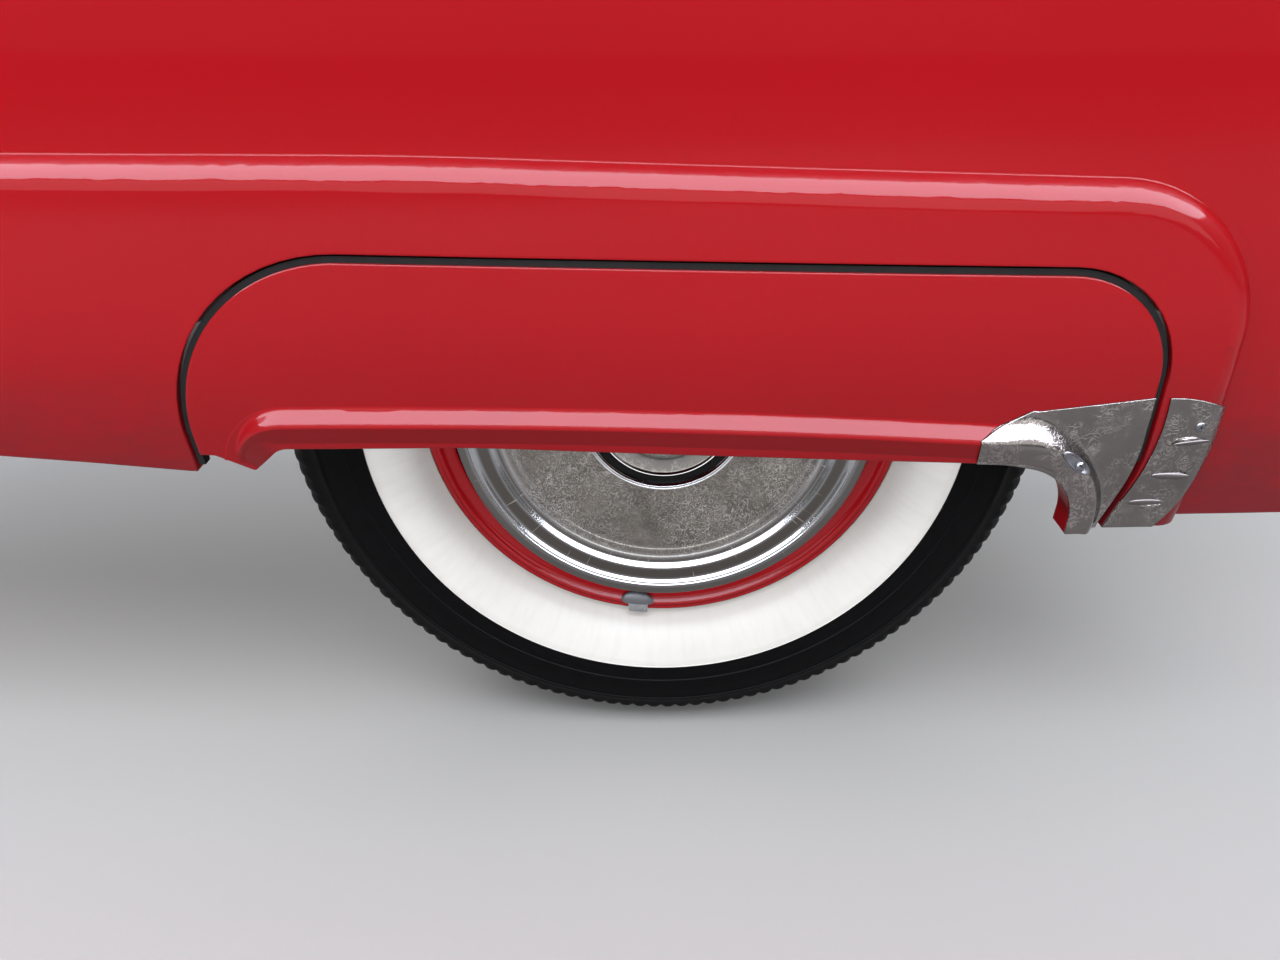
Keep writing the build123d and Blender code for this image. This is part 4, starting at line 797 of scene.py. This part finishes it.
def make_lip_flare():
    """The lip's flowing surface: in body colour along the skirt, and in bright metal over its gravel shield."""
    front_x, foot_x = lip_front[0], lip_foot[0]
    red, metal = [], []
    for (x, z), heading in crest_line():
        tail = max(0.0, (lip_rear[1] - z) / (lip_rear[1] - lip_tail[1])) if x < lip_rear[0] else 0.0
        corner = min(1.0, max(0.0, (x - front_x) / (foot_x - front_x)))
        foot = flare_foot + foot_gain * corner ** 3
        red.append(((x, z), heading, crest_rise - tail_fall * tail, flare_slope, flare_top, foot))
        if x > shield_rear_x - shield_lap:
            near = max(0.0, 1.0 - abs(x - swell_x) / swell_half)
            swell = near * near * (3.0 - 2.0 * near)
            metal.append(((x, z), heading, crest_rise + swell_rise * swell, flare_slope - swell_slope * swell,
                          flare_top + swell_top * swell, foot - 1.0))
    work = bmesh.new()
    flare_sheet(work, red, lift=0.10, hollow=1.5, rows=34)
    cut_away(work, (0.0, 0.0, skirt_foot_z * mm), down)
    finish_mesh(work, "skirt_lip_flare", "skirt", [paint_red("lip_red_paint", low_shade=0.35)], 60.0)
    work = bmesh.new()
    flare_sheet(work, metal, lift=1.95, hollow=4.0, rows=40)
    cut_away(work, (0.0, 0.0, skirt_foot_z * mm), down)
    cut_away(work, (shield_rear_x * mm, 0.0, 0.0), (-1.0, 0.0, 0.0))
    (x, z), (x_end, z_end) = shield_slant
    cut_away(work, (x * mm, 0.0, z * mm), (z - z_end, 0.0, x_end - x))
    rim = [edge for edge in work.edges if edge.is_boundary]
    wall = bmesh.ops.extrude_edge_only(work, edges=rim)["geom"]
    for vert in wall:
        if isinstance(vert, bmesh.types.BMVert):
            vert.co.y += flare_wall * mm
    return finish_mesh(work, "skirt_shield_flare", "skirt", [shield_metal("shield_flare_metal", 0.10)],
                       40.0)


# Fixings on the gravel shields
def screw_head(work, radius, rise, recess):
    """An oval screw head made round the origin, with a cross or a straight slot pressed in."""
    section = [(radius, -0.0006), (radius, 0.0003), (radius * 0.9, rise * 0.55), (radius * 0.62, rise * 0.88),
               (radius * 0.42, rise), (radius * 0.36, rise * 0.97), (radius * 0.24, rise * 0.1), (0.0, 0.0)]
    before = set(work.verts)
    turn(work, chain(work, [(r, 0.0, h) for r, h in section]), 48, axis=(0.0, 0.0, 1.0))
    verts = [vert for vert in work.verts if vert not in before]
    for vert in verts:
        r = math.hypot(vert.co.x, vert.co.y)
        if r > radius * 0.5:
            continue
        angle = math.atan2(vert.co.y, vert.co.x)
        reach = 0.55 + 0.95 * abs(math.cos(2 * angle)) ** 3
        if recess == "slot":
            reach = 0.30 + 1.9 * abs(math.cos(angle)) ** 6
        vert.co.x *= reach
        vert.co.y *= reach
    return verts


def make_shield_fixings(flare):
    """Screw of each gravel shield and the quarter's ribs; the skirt's screw sits in a long cup washer on the bend."""
    chrome = polished("fixing_chrome", (0.17, 0.17, 0.18), 0.24)
    work = bmesh.new()
    point, normal = on_surface(nodes["quarter_gravel_shield"], *quarter_screw_place)
    verts = screw_head(work, screw_r, rise=0.0016, recess="cross")
    set_on(work, verts, point - normal * 0.0002, normal, quarter_screw_along)
    finish_mesh(work, "quarter_shield_screw", "quarter", [chrome], 38.0)
    work = bmesh.new()
    for x, z in shield_ribs:
        point, normal = on_surface(nodes["quarter_gravel_shield"], x, z)
        verts = bmesh.ops.create_uvsphere(work, u_segments=48, v_segments=24, radius=1.0)["verts"]
        bmesh.ops.scale(work, verts=verts, vec=rib_half)
        set_on(work, verts, point - normal * 0.0004, normal)
    rib_metal = worn_metal("shield_rib_metal", (0.130, 0.120, 0.115), 0.34, dent=0.1, dent_scale=92.0, scuff=0.4)
    finish_mesh(work, "quarter_shield_ribs", "quarter", [rib_metal], 60.0)
    work = bmesh.new()
    point, normal = on_surface(flare, *skirt_screw_place)
    cup = [(r * mm * cup_narrowing, 0.0, rise * mm) for r, rise in cup_section]
    turn(work, chain(work, cup), 48, axis=(0.0, 0.0, 1.0))
    for vert in work.verts:
        vert.co.x *= cup_stretch
    head = screw_head(work, screw_r, rise=0.0020, recess="slot")
    bmesh.ops.translate(work, verts=head, vec=(0.0046, 0.0, 0.0003))
    set_on(work, list(work.verts), point + normal * 0.0003, normal, skirt_screw_along)
    finish_mesh(work, "skirt_shield_screw", "skirt", [chrome], 38.0)


# Small parts of the hidden side
def first_hit(origin, direction):
    """Point and normal where a ray first meets the model."""
    _, point, normal, _, _, _ = bpy.context.scene.ray_cast(
        bpy.context.evaluated_depsgraph_get(), Vector(origin), Vector(direction))
    return point, normal


def hex_bolt(work, across, rise):
    """A hexagon head with a chamfered top on a round washer, made round the origin."""
    before = set(work.verts)
    for sides, lower, upper, depth, middle in (
            (32, 0.98, 0.94, washer_rise, washer_rise / 2), (6, 0.577, 0.577, rise, washer_rise + rise / 2),
            (6, 0.577, 0.48, rise * 0.2, washer_rise + rise * 1.1)):
        bmesh.ops.create_cone(work, cap_ends=True, segments=sides, radius1=across * lower, radius2=across * upper,
                              depth=depth, matrix=Matrix.Translation((0.0, 0.0, middle)))
    return [vert for vert in work.verts if vert not in before]


def rounded(places):
    """A path with its corners cut until they are round."""
    points = [Vector(place) for place in places]
    for _ in range(3):
        cut = [points[0]]
        for near, far_place in zip(points, points[1:]):
            cut += [near.lerp(far_place, 0.25), near.lerp(far_place, 0.75)]
        points = [*cut, points[-1]]
    return points


def pipe_along(work, points, radius):
    """A round pipe through a path's points, closed at its ends."""
    curve = bpy.data.curves.new("pipe", "CURVE")
    curve.dimensions = "3D"
    curve.bevel_depth = radius
    curve.bevel_resolution = 3
    curve.use_fill_caps = True
    spline = curve.splines.new("POLY")
    spline.points.add(len(points) - 1)
    for knot, place in zip(spline.points, points):
        knot.co = (*place, 1.0)
    holder = bpy.data.objects.new("pipe", curve)
    mesh = bpy.data.meshes.new_from_object(holder)
    work.from_mesh(mesh)
    bpy.data.objects.remove(holder)
    bpy.data.curves.remove(curve)
    bpy.data.meshes.remove(mesh)


def pressed_bead(work, start, end, half_width, rise):
    """A long rounded bead between two places, half sunk in its sheet."""
    verts = bmesh.ops.create_uvsphere(work, u_segments=24, v_segments=12, radius=half_width)["verts"]
    middle, reach = (start + end) / 2, (end - start) / 2
    for vert in verts:
        vert.co.z *= rise / half_width
        vert.co += middle + (reach if vert.co.x > 0 else -reach)


def make_bolts(steel):
    """Hexagon bolts on the body mounts, backing plate, hangers and rail."""
    work = bmesh.new()
    for x, y in mount_bolts:
        point, normal = first_hit((x, y, view_height), down)
        set_on(work, hex_bolt(work, *large_bolt), point, normal)
    for x, z in plate_bolts + web_bolts:
        point, normal = first_hit((x, view_inside, z), outward)
        set_on(work, hex_bolt(work, *small_bolt), point, normal, small_bolt_along)
    finish_mesh(work, "chassis_bolts", "quarter", [steel], 30.0)


def make_brake_pipe(steel):
    """Brake pipe from the backing plate over the spring to its union on the axle tube, held by two clips."""
    work = bmesh.new()
    top, _ = first_hit(over_tube, down)
    rest = top.z + pipe_r
    run = [(0.0, y, rest) for y in pipe_run]
    pipe_along(work, rounded([*pipe_drop, *run, (0.0, pipe_end_y, rest + pipe_end_rise)]), pipe_r)
    for y in pipe_clips:
        angles = [math.radians(6 * k) for k in range(-16, 17)]
        pipe_along(work, [(rest * math.sin(a), y, rest * math.cos(a)) for a in angles], pipe_clip_r)
    rounded_block(work, union_size, (0.0, union_y, top.z + union_rise), union_edge_r, 2)
    finish_mesh(work, "brake_pipe", "quarter", [steel], 40.0)


def make_beads(paint):
    """Stiffening beads pressed in the luggage floor and over the wheelhouse's dome, and the dome's welded seam."""
    work = bmesh.new()
    floor_top, _ = first_hit((*floor_place, view_height), down)
    for rear, front in floor_beads:
        for y in floor_bead_rows:
            pressed_bead(work, Vector((rear, y, floor_top.z)), Vector((front, y, floor_top.z)), *floor_bead_size)
    house_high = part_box("wheelhouse")[1]
    dome_r = house_high.z
    seam_inset, seam_r = dome_seam
    for y, radius in (*dome_beads, (house_high.y - seam_inset, seam_r)):
        angles = [math.radians(2 * k) for k in range(1, 90)]
        pipe_along(work, [(dome_r * math.cos(a), y, dome_r * math.sin(a)) for a in angles], radius)
    finish_mesh(work, "pressed_beads", "quarter", [paint], 60.0)


def make_lamp_loom():
    """Tail lamp's wiring along the side of the luggage space."""
    work = bmesh.new()
    pipe_along(work, rounded(loom_path), loom_r)
    finish_mesh(work, "lamp_wiring", "quarter", [rubber_black("loom_black", 0.012)], 60.0)


def make_lamp_lens():
    """Tail lamp lens: a dome with moulded rings."""
    low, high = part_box("tail_lamp_lens")
    centre = (low + high) / 2
    lens_r = (high.y - low.y) / 2
    shoulder_x = low.x + lens_depth
    section = [(high.x, 0.0), (high.x, 0.6 * lens_r), (shoulder_x, lens_r * 0.6), (shoulder_x, lens_r * lens_shoulder),
               (low.x + lens_depth * 0.8, lens_r)]
    for i in range(lens_steps + 1):
        part = i / lens_steps
        r = lens_r * lens_shoulder * (1.0 - part)
        fall = lens_depth * 0.62 * (1.0 - (1.0 - (r / lens_r) ** 2.6))
        wave = 0.5 - 0.5 * math.cos(part * lens_rings * 2 * math.pi)
        ridge = lens_ring_rise * wave if 0.08 < part < 0.9 else 0.0
        section.append((low.x + fall + ridge, r))
    work = bmesh.new()
    points = [(x, centre.y + r, centre.z) for x, r in section]
    turn(work, chain(work, points), 96, centre=(0.0, centre.y, centre.z), axis=(1.0, 0.0, 0.0))
    finish_mesh(work, "tail_lamp_red_lens", "quarter", [lamp_red()], 60.0, ["tail_lamp_lens"])


def set_finish(node_names, material):
    """Puts one material on CAD nodes."""
    for name in node_names:
        mesh = nodes[name].data
        mesh.materials.clear()
        mesh.materials.append(material)


def dress_quarter_panel():
    """Gloss paint outside, thin dull paint on the panel's inner side."""
    mesh = nodes["quarter_panel"].data
    mesh.materials.clear()
    mesh.materials.append(paint_red())
    mesh.materials.append(chassis_paint("inner_panel_paint", (0.17, 0.006, 0.009), 0.55, 0.3, 0.15))
    for face in mesh.polygons:
        inward = face.normal.y > 0.25 or face.normal.z < -0.6
        if inward and inner_rear_x < face.center.x < inner_front_x:
            face.material_index = 1


def dress_frame():
    """Finishes of the CAD pieces that show as they are."""
    dress_quarter_panel()
    set_finish(["skirt_panel"], paint_red("skirt_red_paint", low_shade=0.35))
    set_finish(["wheel_rim", "wheel_disc"], paint_red("wheel_red_paint", 0.86, low_shade=0.0))
    set_finish(["skirt_gasket", "body_mounts", "bump_stop", "spring_bushes"], rubber_black())
    set_finish(["skirt_gravel_shield", "quarter_gravel_shield"], shield_metal())
    set_finish(["tail_lamp_bezel"], polished("bezel_chrome", (0.76, 0.76, 0.77), 0.06))
    set_finish(["frame_rail", "axle_tube", "backing_plate", "front_hanger", "rear_hanger", "shackle", "spring_plate"],
               chassis_paint("chassis_black_paint", (0.016, 0.016, 0.017), 0.45))
    set_finish(["main_leaf", "spring_leaves"], chassis_paint("spring_steel_paint", (0.03, 0.029, 0.028), 0.5))
    set_finish(["wheelhouse", "luggage_floor", "rocker", "skirt_frame"],
               chassis_paint("underbody_red_paint", (0.15, 0.006, 0.009), 0.5, 0.3, 0.15))
    set_finish(["pivot_pins", "spring_clips", "u_bolts", "shock_mounts", "skirt_latch", "skirt_brackets", "axle_shaft",
                "wheel_nuts", "wheel_bearing", "door_striker"],
               worn_metal("plated_steel", (0.42, 0.41, 0.38), 0.32, dent=0.1, dent_scale=60.0, scuff=0.5))
    set_finish(["shock_absorber"], chassis_paint("shock_grey_paint", (0.10, 0.105, 0.11), 0.4))
    set_finish(["brake_drum"], rusted_iron())


def place_camera():
    """The camera at the photograph's place and angle."""
    lens = bpy.data.cameras.new("camera")
    lens.sensor_width = sensor_mm
    lens.sensor_fit = "HORIZONTAL"
    lens.lens = sensor_mm * focal_px / frame_px
    lens.clip_start = 0.01
    camera = in_scene("camera", lens)
    camera.location = camera_place
    camera.rotation_euler = (math.pi / 2 - camera_pitch, 0.0, -camera_turn)
    bpy.context.scene.camera = camera


def lamp(name, place, aim, size, power, lights=True, mirrored=True, colour=white_light):
    """A soft lamp aimed at a point, which may only light the object or only be mirrored in it."""
    light = bpy.data.lights.new(name, "AREA")
    light.shape = "RECTANGLE"
    light.size, light.size_y = size
    light.energy = power
    light.color = colour
    holder = in_scene(name, light)
    holder.location = place
    holder.rotation_euler = (Vector(aim) - Vector(place)).to_track_quat("-Z", "Y").to_euler()
    holder.visible_diffuse = lights
    holder.visible_glossy = mirrored


def card(name, place, aim, size, radiance, colour=white_light):
    """A bright card that is mirrored in the object and doesn't light it."""
    width, depth = size
    lamp(name, place, aim, size, radiance * math.pi * width * depth, lights=False, colour=colour)


def pale_floor():
    """Plain pale floor under the tyre."""
    work = bmesh.new()
    bmesh.ops.create_grid(work, x_segments=1, y_segments=1, size=floor_reach)
    bmesh.ops.translate(work, verts=work.verts, vec=(0.0, 0.0, tyre_low.z))
    mesh = bpy.data.meshes.new("floor")
    work.to_mesh(mesh)
    work.free()
    floor = in_scene("floor", mesh)
    material, _, shader = blank_material("floor_pale", roughness=0.9)
    set_sockets(shader, {"Base Color": floor_colour})
    mesh.materials.append(material)


def soft_light():
    """Pale world, lamps over the car's side, in front and on the inner side, and two cards for the bright metal."""
    scene = bpy.context.scene
    scene.view_settings.view_transform = "Standard"
    world = bpy.data.worlds.new("studio")
    scene.world = world
    world.use_nodes = True
    set_sockets(world.node_tree.nodes["Background"], {"Color": world_colour, "Strength": world_strength})
    lamp("sky_lamp", *sky_lamp, mirrored=False)
    lamp("front_lamp", *front_lamp, mirrored=False)
    card("sky_card", *sky_card, colour=sky_blue)
    card("low_card", *low_card)
    lamp("inner_lamp", *inner_lamp)


place_camera()
dress_frame()
make_tyre()
make_cover()
make_rim_lip()
make_cover_centre()
make_weight()
flare_piece = make_lip_flare()
bpy.context.view_layer.update()
make_shield_fixings(flare_piece)
make_bolts(worn_metal("bolt_steel", (0.36, 0.35, 0.32), 0.36, dent=0.15, dent_scale=120.0, scuff=0.5))
make_brake_pipe(worn_metal("brake_pipe_steel", (0.40, 0.38, 0.34), 0.30, dent=0.08, dent_scale=60.0, scuff=0.4))
make_beads(nodes["wheelhouse"].data.materials[0])
make_lamp_loom()
make_lamp_lens()
pale_floor()
soft_light()
